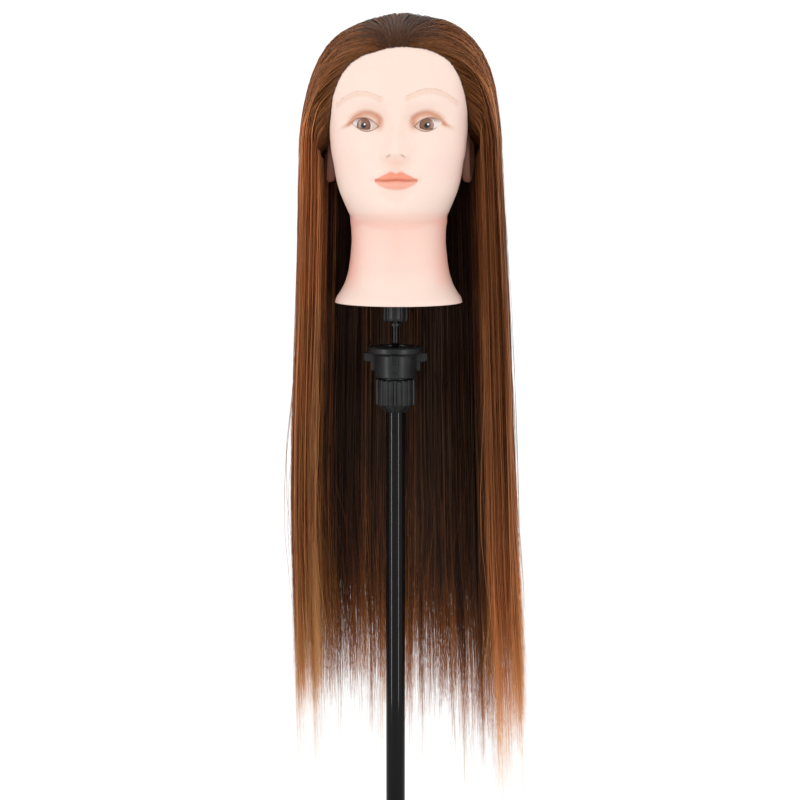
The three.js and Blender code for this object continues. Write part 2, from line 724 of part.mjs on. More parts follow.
const mannequin = new THREE.Group();
mannequin.add(stand, mast, head);

// The origin is the middle of the footprint, on the floor.
const footprint = new THREE.Box3().setFromObject(mannequin, true);
mannequin.position.y = -(footprint.min.y + footprint.max.y) / 2;

export default mannequin;
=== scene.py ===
"""Looks of a mannequin training head on its stand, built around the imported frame. Metres, +Z up."""
import json
import math

import bmesh
import bpy
import numpy as np
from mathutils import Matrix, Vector


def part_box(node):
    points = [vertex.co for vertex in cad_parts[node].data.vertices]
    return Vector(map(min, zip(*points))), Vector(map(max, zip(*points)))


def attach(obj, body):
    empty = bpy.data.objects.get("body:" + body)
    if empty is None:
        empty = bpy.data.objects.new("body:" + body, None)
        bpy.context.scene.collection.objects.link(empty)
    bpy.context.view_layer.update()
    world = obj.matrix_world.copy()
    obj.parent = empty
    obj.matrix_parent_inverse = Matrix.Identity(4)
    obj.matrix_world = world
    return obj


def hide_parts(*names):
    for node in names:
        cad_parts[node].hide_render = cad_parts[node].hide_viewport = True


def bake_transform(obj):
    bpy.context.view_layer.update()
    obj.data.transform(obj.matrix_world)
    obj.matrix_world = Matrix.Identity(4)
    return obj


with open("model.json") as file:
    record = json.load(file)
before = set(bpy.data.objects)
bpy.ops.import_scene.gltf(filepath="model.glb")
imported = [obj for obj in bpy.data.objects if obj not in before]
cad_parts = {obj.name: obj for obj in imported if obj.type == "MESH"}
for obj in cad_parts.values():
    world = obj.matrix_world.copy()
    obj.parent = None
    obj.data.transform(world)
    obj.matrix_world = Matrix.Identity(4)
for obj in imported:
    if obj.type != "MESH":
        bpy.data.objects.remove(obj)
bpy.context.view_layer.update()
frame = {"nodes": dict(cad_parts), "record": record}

MM = 0.001


# ---------- places taken from the frame, in millimetres about the mast ----------
def node_box(node):
    low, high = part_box(node)
    return np.array(low) / MM, np.array(high) / MM


def heights(node):
    low, high = node_box(node)
    return low[2], high[2]


tube_low, tube_high = node_box("upper_tube")
AXIS_Y = float(tube_low[1] + tube_high[1]) / 2
skin_low, skin_high = node_box("head_skin")
NECK_Z, CROWN_Z = float(skin_low[2]), float(skin_high[2])
HEAD_X = float(skin_low[0] + skin_high[0]) / 2


def to_frame(points):
    """Millimetres about the mast's axis to metres in the frame."""
    return (np.asarray(points, float) + [0.0, AXIS_Y, 0.0]) * MM


# ---------- mesh helpers ----------
def placed_object(name, data):
    """A new object in the scene."""
    made = bpy.data.objects.new(name, data)
    bpy.context.scene.collection.objects.link(made)
    return made


def mesh_object(name, vertices, faces):
    """An object from vertices in millimetres about the mast and faces of one size or a list of tuples."""
    mesh = bpy.data.meshes.new(name)
    points = to_frame(vertices)
    if isinstance(faces, np.ndarray):
        sides = faces.shape[1]
        mesh.vertices.add(len(points))
        mesh.vertices.foreach_set("co", points.astype(np.float32).ravel())
        mesh.loops.add(faces.size)
        mesh.loops.foreach_set("vertex_index", faces.astype(np.int32).ravel())
        mesh.polygons.add(len(faces))
        mesh.polygons.foreach_set("loop_start", np.arange(len(faces), dtype=np.int32) * sides)
        mesh.update(calc_edges=True)
    else:
        mesh.from_pydata(points.tolist(), [], faces)
    mesh.validate()
    mesh.polygons.foreach_set("use_smooth", np.ones(len(mesh.polygons), dtype=bool))
    return placed_object(name, mesh)


def grid_faces(rows, columns, wrap=False):
    """Quads of a rows by columns grid of vertices; wrap joins the last column to the first."""
    last = columns if wrap else columns - 1
    r, c = np.meshgrid(np.arange(rows - 1), np.arange(last), indexing="ij")
    r, c = r.ravel(), c.ravel()
    n = (c + 1) % columns
    return np.stack([r * columns + c, r * columns + n, (r + 1) * columns + n, (r + 1) * columns + c], 1)


def face_list(faces):
    return [tuple(face) for face in faces.tolist()]


def attribute(made, name, values):
    layer = made.data.attributes.new(name, "FLOAT", "POINT")
    layer.data.foreach_set("value", np.asarray(values, np.float32).ravel())


def ease(value, low, high):
    t = np.clip((np.asarray(value, float) - low) / (high - low), 0.0, 1.0)
    return t * t * (3.0 - 2.0 * t)


def hill(x, at, wide):
    """A rounded ridge of height 1 along a line."""
    return np.exp(-(((x - at) / wide) ** 2))


def bump(x, z, at_x, at_z, wide, tall):
    """A rounded hill of height 1 over the face, in millimetres."""
    return np.exp(-(((x - at_x) / wide) ** 2) - ((z - at_z) / tall) ** 2)


# ---------- camera ----------
CAMERA_REACH = 2420.0
CAMERA_Z = 1147.0
CAMERA_SIDE = math.radians(2.0)
CAMERA_SLIDE = 4.5
VIEW_CENTRE_Z = 862.0
SENSOR = 36.0
VIEW_WIDTH = 800.0  # millimetres seen across at the mast


def make_camera():
    data = bpy.data.cameras.new("camera")
    pitch = math.atan2(CAMERA_Z - VIEW_CENTRE_Z, CAMERA_REACH)
    distance = math.hypot(CAMERA_Z - VIEW_CENTRE_Z, CAMERA_REACH)
    data.sensor_width = SENSOR
    data.lens = SENSOR * distance / VIEW_WIDTH
    data.clip_end = 50.0
    made = placed_object("camera", data)
    side = Vector((math.cos(CAMERA_SIDE), math.sin(CAMERA_SIDE), 0.0))
    back = Vector((math.sin(CAMERA_SIDE), -math.cos(CAMERA_SIDE), 0.0))
    place = back * CAMERA_REACH + side * CAMERA_SLIDE
    made.location = to_frame([place.x, place.y, CAMERA_Z])
    made.rotation_euler = (math.pi / 2 - pitch, 0.0, CAMERA_SIDE)
    bpy.context.scene.camera = made


# ---------- lights and floor ----------
WORLD_STRENGTH = 1.10
FLOOR_SIZE = 60.0


def area_light(name, azimuth, height, distance, size, power, aim_z):
    """A rectangular lamp round the mast, degrees from the front, aimed at the axis; metres and watts."""
    data = bpy.data.lights.new(name, "AREA")
    data.shape = "RECTANGLE"
    data.size, data.size_y = size
    data.energy = power
    made = placed_object(name, data)
    turn = math.radians(azimuth)
    made.location = (distance * math.sin(turn), AXIS_Y * MM - distance * math.cos(turn), height)
    aim = Vector((0.0, AXIS_Y * MM, aim_z)) - made.location
    made.rotation_euler = aim.to_track_quat("-Z", "Y").to_euler()
    return made


def make_stage():
    bpy.context.scene.view_settings.view_transform = "Standard"
    world = bpy.data.worlds.new("studio")
    world.use_nodes = True
    background = world.node_tree.nodes["Background"]
    background.inputs["Color"].default_value = (1.0, 1.0, 1.0, 1.0)
    background.inputs["Strength"].default_value = WORLD_STRENGTH
    bpy.context.scene.world = world
    for name, azimuth, power in (("strip_left", -47, 42.0), ("strip_right", 38, 34.0)):
        strip = area_light(name, azimuth, 1.0, 2.2, (0.22, 2.2), power, 0.7)
        strip.visible_diffuse = False
    area_light("top_soft", -10, 3.0, 2.4, (1.4, 1.4), 6.0, 1.1)
    bpy.ops.mesh.primitive_plane_add(size=FLOOR_SIZE, location=(0, 0, 0))
    floor = bpy.context.object
    floor.name = "floor"
    floor.data.materials.append(Nodes("floor_white").set(colour=(0.985,) * 3, rough=0.9))


# ---------- materials ----------
class Nodes:
    """Short names for making a material's nodes."""

    def __init__(self, name):
        self.material = bpy.data.materials.new(name)
        self.material.use_nodes = True
        self.tree = self.material.node_tree
        self.shader = self.tree.nodes["Principled BSDF"]

    def add(self, kind, **settings):
        node = self.tree.nodes.new(kind)
        for key, value in settings.items():
            setattr(node, key, value)
        return node

    def link(self, source, target):
        self.tree.links.new(source, target)

    def value(self, socket, value):
        """Links a socket to another, or sets it: to a number, or to a colour of three."""
        if isinstance(value, bpy.types.NodeSocket):
            self.link(value, socket)
        else:
            socket.default_value = (*value, 1.0) if isinstance(value, tuple) else value

    def math(self, operation, *values, clamp=False):
        node = self.add("ShaderNodeMath", operation=operation, use_clamp=clamp)
        for socket, value in zip(node.inputs, values):
            self.value(socket, value)
        return node.outputs[0]

    def times(self, a, b, clamp=False):
        return self.math("MULTIPLY", a, b, clamp=clamp)

    def noise(self, scale, detail=3.0, stretch=None):
        """Cloudy pattern from 0 to 1, in object space, stretched by a scale for each axis."""
        node = self.add("ShaderNodeTexNoise")
        node.inputs["Scale"].default_value = scale
        node.inputs["Detail"].default_value = detail
        node.inputs["Roughness"].default_value = 0.55
        place = self.add("ShaderNodeTexCoord").outputs["Object"]
        if stretch:
            mapping = self.add("ShaderNodeMapping")
            mapping.inputs["Scale"].default_value = stretch
            self.link(place, mapping.inputs["Vector"])
            place = mapping.outputs["Vector"]
        self.link(place, node.inputs["Vector"])
        return node.outputs["Fac"]

    def split(self, vector=None):
        """The three numbers of a vector, of the place in object space unless given."""
        node = self.add("ShaderNodeSeparateXYZ")
        self.link(vector or self.add("ShaderNodeTexCoord").outputs["Object"], node.inputs["Vector"])
        return node.outputs

    def ramp(self, factor, *stops, smooth=False):
        """Colours along a factor; a stop is a place and a colour of three, or one number for a grey."""
        node = self.add("ShaderNodeValToRGB")
        if smooth:
            node.color_ramp.interpolation = "EASE"
        elements = node.color_ramp.elements
        while len(elements) < len(stops):
            elements.new(0.5)
        for element, (at, colour) in zip(elements, stops):
            element.position = at
            element.color = (*colour, 1.0) if isinstance(colour, tuple) else (colour, colour, colour, 1.0)
        self.link(factor, node.inputs["Fac"])
        return node.outputs["Color"]

    def mix(self, factor, a, b, kind="MIX"):
        node = self.add("ShaderNodeMix", data_type="RGBA", blend_type=kind)
        self.value(node.inputs["Factor"], factor)
        self.value(node.inputs["A"], a)
        self.value(node.inputs["B"], b)
        return node.outputs["Result"]

    def over(self, base, factor, amount, colour):
        """Lays a colour over another by a share of a factor."""
        return self.mix(self.times(factor, amount), base, colour)

    def attribute(self, name):
        return self.add("ShaderNodeAttribute", attribute_name=name).outputs["Fac"]

    def bump(self, height, strength, distance):
        node = self.add("ShaderNodeBump")
        node.inputs["Strength"].default_value = strength
        node.inputs["Distance"].default_value = distance
        self.link(height, node.inputs["Height"])
        self.link(node.outputs["Normal"], self.shader.inputs["Normal"])

    def set(self, **values):
        names = {"colour": "Base Color", "rough": "Roughness", "metal": "Metallic", "coat": "Coat Weight",
                 "coat_rough": "Coat Roughness", "specular": "Specular IOR Level",
                 "scatter": "Subsurface Weight"}
        for key, value in values.items():
            self.value(self.shader.inputs[names[key]], value)
        return self.material


def moulded_plastic(name, colour, rough):
    """Injection-moulded plastic: fine grain, slightly lighter worn patches, uneven gloss."""
    n = Nodes(name)
    pale = tuple(min(1.0, c * 1.5 + 0.012) for c in colour)
    n.bump(n.noise(900.0, 2.0), 0.35, 0.00012)
    return n.set(colour=n.ramp(n.noise(38.0, 4.0), (0.35, colour), (0.8, pale)),
                 rough=n.math("MULTIPLY_ADD", n.noise(24.0), 0.22, rough - 0.1), specular=0.16)


def lacquered_tube():
    """Glossy black lacquer over steel tube."""
    n = Nodes("black_lacquer")
    haze = n.ramp(n.noise(9.0, 4.0), (0.3, (0.003, 0.003, 0.0035)), (0.8, (0.006, 0.006, 0.0065)))
    scuffs = n.ramp(n.noise(160.0, 5.0, (1.0, 1.0, 0.05)), (0.55, 0.07), (0.8, 0.16))
    n.bump(n.noise(60.0, 2.0), 0.03, 0.0004)
    return n.set(colour=haze, rough=scuffs, specular=0.12)


def machined_steel():
    """Plain steel with fine turning lines."""
    n = Nodes("machined_steel")
    tone = n.ramp(n.noise(90.0), (0.3, (0.42, 0.43, 0.44)), (0.8, (0.62, 0.63, 0.64)))
    lines = n.noise(700.0, 2.0, (0.15, 0.15, 3.0))
    n.bump(lines, 0.2, 0.0001)
    return n.set(colour=tone, metal=1.0, rough=n.math("MULTIPLY_ADD", lines, 0.2, 0.2))


def rubber():
    """Dull black rubber, dusty in patches."""
    n = Nodes("black_rubber")
    n.bump(n.noise(1200.0, 2.0), 0.5, 0.0002)
    return n.set(colour=n.ramp(n.noise(45.0, 5.0), (0.3, 0.012), (0.75, (0.035, 0.034, 0.033))),
                 rough=0.78, specular=0.35)


def core_foam():
    """Yellowish cellular foam."""
    n = Nodes("core_foam")
    n.bump(n.noise(900.0, 2.0), 0.8, 0.0006)
    return n.set(colour=n.ramp(n.noise(300.0), (0.3, (0.62, 0.55, 0.42)), (0.7, (0.82, 0.77, 0.66))),
                 rough=0.95)


# ---------- head ----------
HEAD_MID_Y = 6.0
# height, half width, front, back, and how square the front of the section is
HEAD_SECTIONS = np.array([
    [960, 63.5, -60, 66, 2.0],
    [964, 62.5, -59, 65, 2.0],
    [971, 58, -56, 63, 2.0],
    [980, 53.5, -52, 60.5, 2.0],
    [992, 50, -49, 58.5, 2.0],
    [1008, 47.8, -46.5, 58, 2.0],
    [1022, 46.8, -45.5, 58, 2.0],
    [1034, 47.2, -47, 61, 2.0],
    [1040, 48.1, -57, 65, 1.75],
    [1045, 48.2, -74, 68, 1.75],
    [1051, 50.6, -83, 72, 1.85],
    [1060, 54.4, -86.5, 78, 2.0],
    [1072, 59, -87.5, 84, 2.15],
    [1084, 62, -87.5, 88, 2.2],
    [1097, 64, -87.5, 93, 2.3],
    [1110, 66.4, -87, 97, 2.35],
    [1125, 68, -86, 100, 2.35],
    [1140, 69.5, -85, 102, 2.3],
    [1152, 71, -86.5, 103, 2.25],
    [1165, 72, -88.5, 103, 2.2],
    [1180, 71.8, -87.5, 100, 2.15],
    [1195, 69, -83, 93, 2.1],
    [1210, 62, -73, 84, 2.0],
    [1222, 50, -58, 69, 2.0],
    [1230, 36, -41, 50, 2.0],
    [1236, 3, -1, 9, 2.0],
])

EYE_X = 30.0
EYE_Z = 1136.1
EYE_HALF = 13.0
EYE_TALL = 6.3
MOUTH_Z = 1083.3
MOUTH_HALF = 21.0
FACE_X = 0.8  # the features sit a touch to one side of the moulding


def monotone(table, z):
    """Columns of a table at heights z, by cubic pieces that never overshoot."""
    x = table[:, 0]
    out = []
    for y in table[:, 1:].T:
        slope = np.diff(y) / np.diff(x)
        before, after = slope[:-1], slope[1:]
        m = np.empty_like(y)
        m[1:-1] = np.where(before * after > 0, 2 * before * after / (before + after + 1e-12), 0)
        m[0], m[-1] = slope[0], slope[-1]
        k = np.clip(np.searchsorted(x, z, side="right") - 1, 0, len(x) - 2)
        h = x[k + 1] - x[k]
        t = np.clip((z - x[k]) / h, 0, 1)
        out.append((2 * t**3 - 3 * t**2 + 1) * y[k] + (t**3 - 2 * t**2 + t) * h * m[k]
                   + (3 * t**2 - 2 * t**3) * y[k + 1] + (t**3 - t**2) * h * m[k + 1])
    return out


def lid_curves(t):
    """Heights above the eye's middle of the upper and lower lid edges, t from -1 (nose side) to 1."""
    arch = np.clip(1.0 - np.abs(t) ** 2.3, 0.0, 1.0)
    sag = np.clip(1.0 - np.abs(t) ** 2.0, 0.0, 1.0)
    lean = 1.8 * t
    return EYE_TALL * 0.98 * arch + lean, -EYE_TALL * sag + lean


def overhang(vertical, beyond, inside):
    """Distance out of an opening from how far a point is past it each way; within it, what is given."""
    out = np.hypot(np.maximum(vertical, 0), np.maximum(beyond, 0))
    return np.where((vertical > 0) | (beyond > 0), out, inside)


def eye_distance(x, z):
    """Roughly how far outside the eye's opening a point is, in millimetres; negative inside."""
    best = np.full_like(x, 1e3)
    for side in (-1.0, 1.0):
        t = side * (x - side * EYE_X) / EYE_HALF
        upper, lower = lid_curves(np.clip(t, -1, 1))
        vertical = np.maximum(z - EYE_Z - upper, lower - (z - EYE_Z))
        best = np.minimum(best, overhang(vertical, (np.abs(t) - 1.0) * EYE_HALF, vertical))
    return best


def lip_heights(x):
    """Upper edge, parting line and lower edge of the lips at x, in millimetres."""
    t = np.clip(np.abs(x) / MOUTH_HALF, 0, 1)
    peak = 8.2 * (1 - t**1.75) - 1.6 * hill(x, 0, 3.0) + 0.9 * hill(np.abs(x), 5.0, 3.0)
    line = 0.5 * np.cos(np.pi * x / 12.0) * (1 - t) - 0.2
    lower = -9.4 * np.clip(1 - t**2.0, 0, 1) ** 0.68
    return MOUTH_Z + peak, MOUTH_Z + line, MOUTH_Z + lower


def lip_distance(x, z):
    """Roughly how far outside the lips a point is, in millimetres; negative inside."""
    upper, _, lower = lip_heights(x)
    vertical = np.maximum(z - upper, lower - z)
    beyond = np.abs(x) - MOUTH_HALF
    return overhang(vertical, beyond, np.maximum(vertical, beyond))


# height, how far to each side, how high up, half width and half length, in millimetres
FACE_HILLS = (
    (3.0, 0, 1110.0, 6.0, 6.0),  # tip of the nose
    (6.5, 10.5, 1108.0, 4.4, 5.4),  # its wings
    (-1.2, 6.6, 1104.4, 2.4, 2.4),  # nostrils
    (3.0, 0, 1146.0, 9.0, 9.0),  # top of the bridge
    (-7.5, 29.0, 1139.0, 17.0, 11.5),  # eye sockets
    (-3.2, 14.5, 1141.0, 6.0, 9.0),  # inner corners
    (3.0, 30.0, 1159.0, 19.0, 7.0),  # brows
    (3.4, EYE_X, EYE_Z + 0.5, 13.5, 9.5),  # lids
    (3.2, 40.0, 1112.0, 17.0, 14.0),  # cheeks
    (3.6, 0, 1086.0, 22.0, 11.0),  # round the mouth
    (-1.7, MOUTH_HALF + 1.0, MOUTH_Z, 4.0, 4.5),  # its corners
    (-1.1, 0, 1097.0, 3.0, 6.0),  # philtrum
    (-2.2, 0, 1069.5, 18.0, 4.5),  # under the lower lip
    (2.6, 0, 1056.0, 15.0, 9.0),  # chin
)


def face_relief(x, z):
    """How far the face stands forward of the plain head section, in millimetres."""
    a = np.abs(x)
    out = np.zeros_like(x)
    # nose: bridge, tip, wings and the undercut below
    ridge = 17.0 * ease(1146.0 - z, 0, 34.0) * ease(z, 1097.5, 1109.0)
    width = 5.6 + 3.6 * ease(1140.0 - z, 0, 30.0)
    out += ridge * np.exp(-(a / width) ** 2.2)
    for size, *shape in FACE_HILLS:
        out += size * bump(a, z, *shape)
    # mouth
    upper, line, lower = lip_heights(x)
    corner = MOUTH_HALF + 1.0
    reach = np.clip(1 - (a / corner) ** 2.2, 0, 1)
    out += 2.5 * reach * hill(z, upper * 0.55 + line * 0.45, 3.6)
    out += 3.2 * reach * hill(z, lower * 0.55 + line * 0.45, 4.2)
    out -= 2.4 * np.exp(-((x / corner) ** 4) - ((z - line) / 1.5) ** 2)
    # the opening of the eye sinks behind the eyeball
    gap = eye_distance(x, z)
    out -= 5.0 * ease(-gap, -0.4, 2.2)
    out += 0.9 * hill(gap, 1.6, 1.4) * (a > 10)
    crease = 6.4 * np.clip(1 - np.abs((a - EYE_X) / (EYE_HALF + 4.0)) ** 2.2, 0, 1) + EYE_Z + 5.6
    out -= 1.3 * hill(z, crease, 1.3) * (np.abs(a - EYE_X) < EYE_HALF + 3)
    return out


def crowded(low, high, count, centres, extra):
    """Numbers from low to high, closer together near each centre."""
    fine = np.linspace(low, high, 4000)
    weight = np.ones_like(fine)
    for centre, spread in centres:
        weight += extra * hill(fine, centre, spread)
    total = np.concatenate([[0], np.cumsum((weight[1:] + weight[:-1]) / 2)])
    return np.interp(np.linspace(0, total[-1], count), total, fine)


def head_point(angle, z, grow=0.0):
    """Point on the plain head at an angle from the front, in millimetres about the mast."""
    half, front, back, square = monotone(HEAD_SECTIONS, z)
    ahead = np.cos(angle) > 0
    power = np.where(ahead, 2.0 / square, 1.0)
    reach = np.where(ahead, HEAD_MID_Y - front, back - HEAD_MID_Y) + grow
    x = (half + grow) * np.sign(np.sin(angle)) * np.abs(np.sin(angle)) ** power
    y = HEAD_MID_Y - reach * np.sign(np.cos(angle)) * np.abs(np.cos(angle)) ** power
    return x, y


def hairline_y(x, z):
    """Front edge of the hair beside or above a point of the head; it is a little lower on the right."""
    lean = z + np.interp(x, [-42, -20, 0, 20, 35, 50, 65], [3.5, 5.0, 2.0, -1.5, -8.0, -12.5, -9.0])
    return np.interp(lean, [1000, 1112, 1128, 1150, 1176, 1194, 1206, 1213, 1240],
                     [34, 28, -14, -36, -52.5, -63, -70.5, -77, -120]) - 0.05 * np.clip(-x, 0, 80)


HEAD_COLUMNS, HEAD_ROWS = 280, 312
# how far in and how far up each ring of the neck's turned-in rim is
NECK_RIM = ((1.2, 0.0), (3.6, 0.6), (5.0, 4.0), (5.6, 14.0))
FAR = 50.0  # a distance that paints nothing
NOSTRIL_Z = 1106.6


def head_mesh():
    """The face, neck, rim and crown as one grid, then both ears; with the first vertex of the ears."""
    angle = crowded(-math.pi, math.pi, HEAD_COLUMNS + 1, [(0.0, 0.75)], 2.6)[:-1]
    z = crowded(NECK_Z, CROWN_Z - 0.2, HEAD_ROWS, [(EYE_Z, 12.0), (1092.0, 26.0), (1048.0, 8.0)], 2.2)
    a, h = np.meshgrid(angle, z)
    x, y = head_point(a, h)
    y -= face_relief(x - FACE_X, h) * ease(np.cos(a), 0.05, 0.5)
    rows = [np.stack([x, y, h], 2).reshape(-1, 3)]
    faces = face_list(grid_faces(HEAD_ROWS, HEAD_COLUMNS, wrap=True))
    loop = np.arange(HEAD_COLUMNS)
    after = (loop + 1) % HEAD_COLUMNS
    outer, start = loop, len(rows[0])
    for inset, lift in NECK_RIM:
        level_z = np.full(HEAD_COLUMNS, NECK_Z + lift)
        rows.append(np.stack([*head_point(angle, level_z, -inset), level_z], 1))
        inner = start + loop
        faces += face_list(np.stack([outer[after], outer, inner, inner[after]], 1))
        outer, start = inner, start + HEAD_COLUMNS
    top = (HEAD_ROWS - 1) * HEAD_COLUMNS
    faces += [(top + int(i), top + int(j), start) for i, j in zip(loop, after)]
    points = np.concatenate([*rows, [[0.0, 4.0, CROWN_Z]]])
    ears_from = len(points)
    for side in (-1.0, 1.0):
        ear_points, ear_faces = ear_shell(side)
        faces += face_list(ear_faces + len(points))
        points = np.concatenate([points, ear_points])
    return points, faces, ears_from


def make_head():
    points, faces, ears_from = head_mesh()
    head = mesh_object("head", points + [HEAD_X, 0.0, 0.0], faces)
    px, y, z = points.T
    x = px - FACE_X
    ahead = y < -4
    far = np.where(ahead, 0.0, FAR)
    attribute(head, "eye_gap", np.where(ahead, eye_distance(x, z), FAR))
    attribute(head, "lip_gap", np.where(ahead, lip_distance(x, z), FAR))
    beyond = 60.0 * ease(np.abs(x), MOUTH_HALF - 0.5, MOUTH_HALF + 2.5)
    # the lips' parting line, darkened in the material as painted shade in the groove
    parting = np.abs(z - lip_heights(x)[1]) * np.clip(1.5 - np.abs(x) / MOUTH_HALF, 0.5, 1.5)
    attribute(head, "lip_line", parting + beyond + far)
    brow, lift = brow_distance(x, z)
    attribute(head, "brow_gap", brow + far)
    attribute(head, "brow_lift", lift)
    attribute(head, "shadow", eyeshadow(x, z) * ahead)
    attribute(head, "blush_and_shade", blush_and_shade(px, z))
    up = z - NOSTRIL_Z
    # the nostrils, darkened in the material as painted shade in their hollows
    attribute(head, "nostril", np.hypot((np.abs(x) - 6.8 + 0.9 * up) / 1.7, up / 1.9) + far)
    # the ears, darkened in the material as painted shade from the hair over them
    attribute(head, "ear", np.arange(len(points)) >= ears_from)
    # behind the hairline the skin takes the roots' brown and painted shade under the hair
    attribute(head, "scalp", (y - hairline_y(px, z)) / 4.0 - 60.0 * (z < 1088))
    return head


EAR_PLACE = (63.5, 14.0, 1106.0)
EAR_HALF = (13.0, 28.0)
EAR_LEAN = -0.2
EAR_RINGS, EAR_SPOKES = 26, 72


def polar_grid(radii, spokes):
    """Radius and turn at each vertex of a disc's grid."""
    return np.meshgrid(radii, np.linspace(0, 2 * math.pi, spokes, endpoint=False), indexing="ij")


def rotated(x, y, turn):
    return x * math.cos(turn) - y * math.sin(turn), x * math.sin(turn) + y * math.cos(turn)


def ear_shell(side):
    """A closed ear on its own polar grid: rolled rim, hollow bowl, inner ridge and a plump lobe."""
    r, t = polar_grid(np.linspace(0.03, 1, EAR_RINGS), EAR_SPOKES)
    narrow = 1 - 0.26 * ease(-np.sin(t), 0.2, 1.0)
    deep = EAR_HALF[0] * r * np.cos(t) * narrow
    up = EAR_HALF[1] * r * np.sin(t)
    lobe = ease(-np.sin(t), 0.55, 0.95)
    out = 3.6 * hill(r, 0.88, 0.11) * (1 - 0.6 * lobe)
    out += 2.0 * hill(r, 0.58, 0.10) * ease(np.cos(t) + 0.2 * np.sin(t), -0.2, 0.6)
    out -= 3.5 * hill(r, 0, 0.42)
    out += 1.6 * lobe * ease(r, 0.4, 0.8)
    out *= 1 - ease(r, 0.93, 1.0) * 0.7
    fan = 0.2 * (deep + EAR_HALF[0] * 0.6)
    front_side = np.stack([side * (4.0 + out + fan), deep, up], 2)
    back_side = np.stack([side * (0.2 - 5.0 * (1 - r) ** 0.5 + fan), deep * 0.97, up * 0.97], 2)
    grid = np.concatenate([front_side, back_side[::-1]]).reshape(-1, 3)
    y, z = rotated(grid[:, 1], grid[:, 2], EAR_LEAN)
    points = np.stack([grid[:, 0] + side * EAR_PLACE[0], y + EAR_PLACE[1], z + EAR_PLACE[2]], 1)
    faces = grid_faces(2 * EAR_RINGS, EAR_SPOKES, wrap=True)
    return points, faces[:, ::-1] if side > 0 else faces


BROWS = (
    [(-57.0, 1156.5), (-46.0, 1164.4), (-34.6, 1167.2), (-24.0, 1165.6), (-15.5, 1162.0)],
    [(10.8, 1162.8), (22.0, 1168.0), (34.5, 1169.6), (46.0, 1166.4), (56.5, 1158.8)],
)


def brow_distance(x, z):
    """Distance to the nearer brow's curve, and the height above it, in millimetres."""
    best = np.full_like(x, 1e3)
    lift = np.zeros_like(x)
    for points in BROWS:
        knots = np.array(points)
        curve = np.polynomial.Polynomial.fit(knots[:, 0], knots[:, 1], 3)
        ends = np.maximum(np.maximum(knots[0, 0] - x, x - knots[-1, 0]), 0)
        height = (z - curve(np.clip(x, knots[0, 0], knots[-1, 0]))) * 0.93
        gap = np.hypot(height + 2.0, ends)
        lift = np.where(gap < best, height, lift)
        best = np.minimum(best, gap)
    return best, lift


def eyeshadow(x, z):
    """Airbrushed shadow in the crease over the upper lid, with tails past both corners."""
    a = np.abs(x)
    t = (a - EYE_X) / (EYE_HALF + 5.0)
    crease = EYE_Z + 1.5 + 9.6 * np.clip(1 - np.abs(t + 0.08) ** 2.0, 0, 1)
    above = z - crease
    band = hill(above, 0, np.where(above > 0, 2.8, 3.4)) * np.clip(1.15 - np.abs(t) ** 4, 0, 1)
    tail = bump(a, z + 0.45 * (a - 45), EYE_X + EYE_HALF + 3.0, EYE_Z + 0.6, 6.5, 2.1)
    inner = bump(a, z, EYE_X - EYE_HALF - 0.5, EYE_Z, 3.4, 5.0)
    lid = 0.30 * bump(a, z, EYE_X, EYE_Z + 5.0, 13.0, 5.5)
    return np.clip(0.84 * band + 0.80 * tail + 0.84 * inner + lid, 0, 1)


def blush_and_shade(x, z):
    """Where the pink goes, partly airbrushed blush and partly painted shade: temples, cheeks' edges, under
    the jaw and the nose, and the neck's sides.
    """
    a = np.abs(x)
    # airbrushed blush on the cheeks; the pink on the face's sides is partly blush and partly painted shade
    # where they turn away
    cheeks = 0.14 * bump(a, z, 52.0, 1100.0, 17.0, 26.0)
    sides = 0.32 * ease(a, 52.0, 70.0)
    # painted shade under the jaw and chin, down the throat below it and on the neck's sides
    jaw = 0.40 * hill(z, 1044.0, 7.0) * (a < 60)
    throat = 0.36 * ease(1046.0 - z, 0, 10) * ease(z, 975, 1000)
    below = ease(1050.0 - z, 0, 8) * ease(z, 968, 985)
    neck = throat + 0.62 * ease(a, 32.0, 47.5) * below
    # painted shade under the nose
    nose = 0.18 * bump(x, z, 0, 1101.0, 13.0, 5.0)
    return np.clip(cheeks + sides + jaw + neck + nose, 0, 1.2)


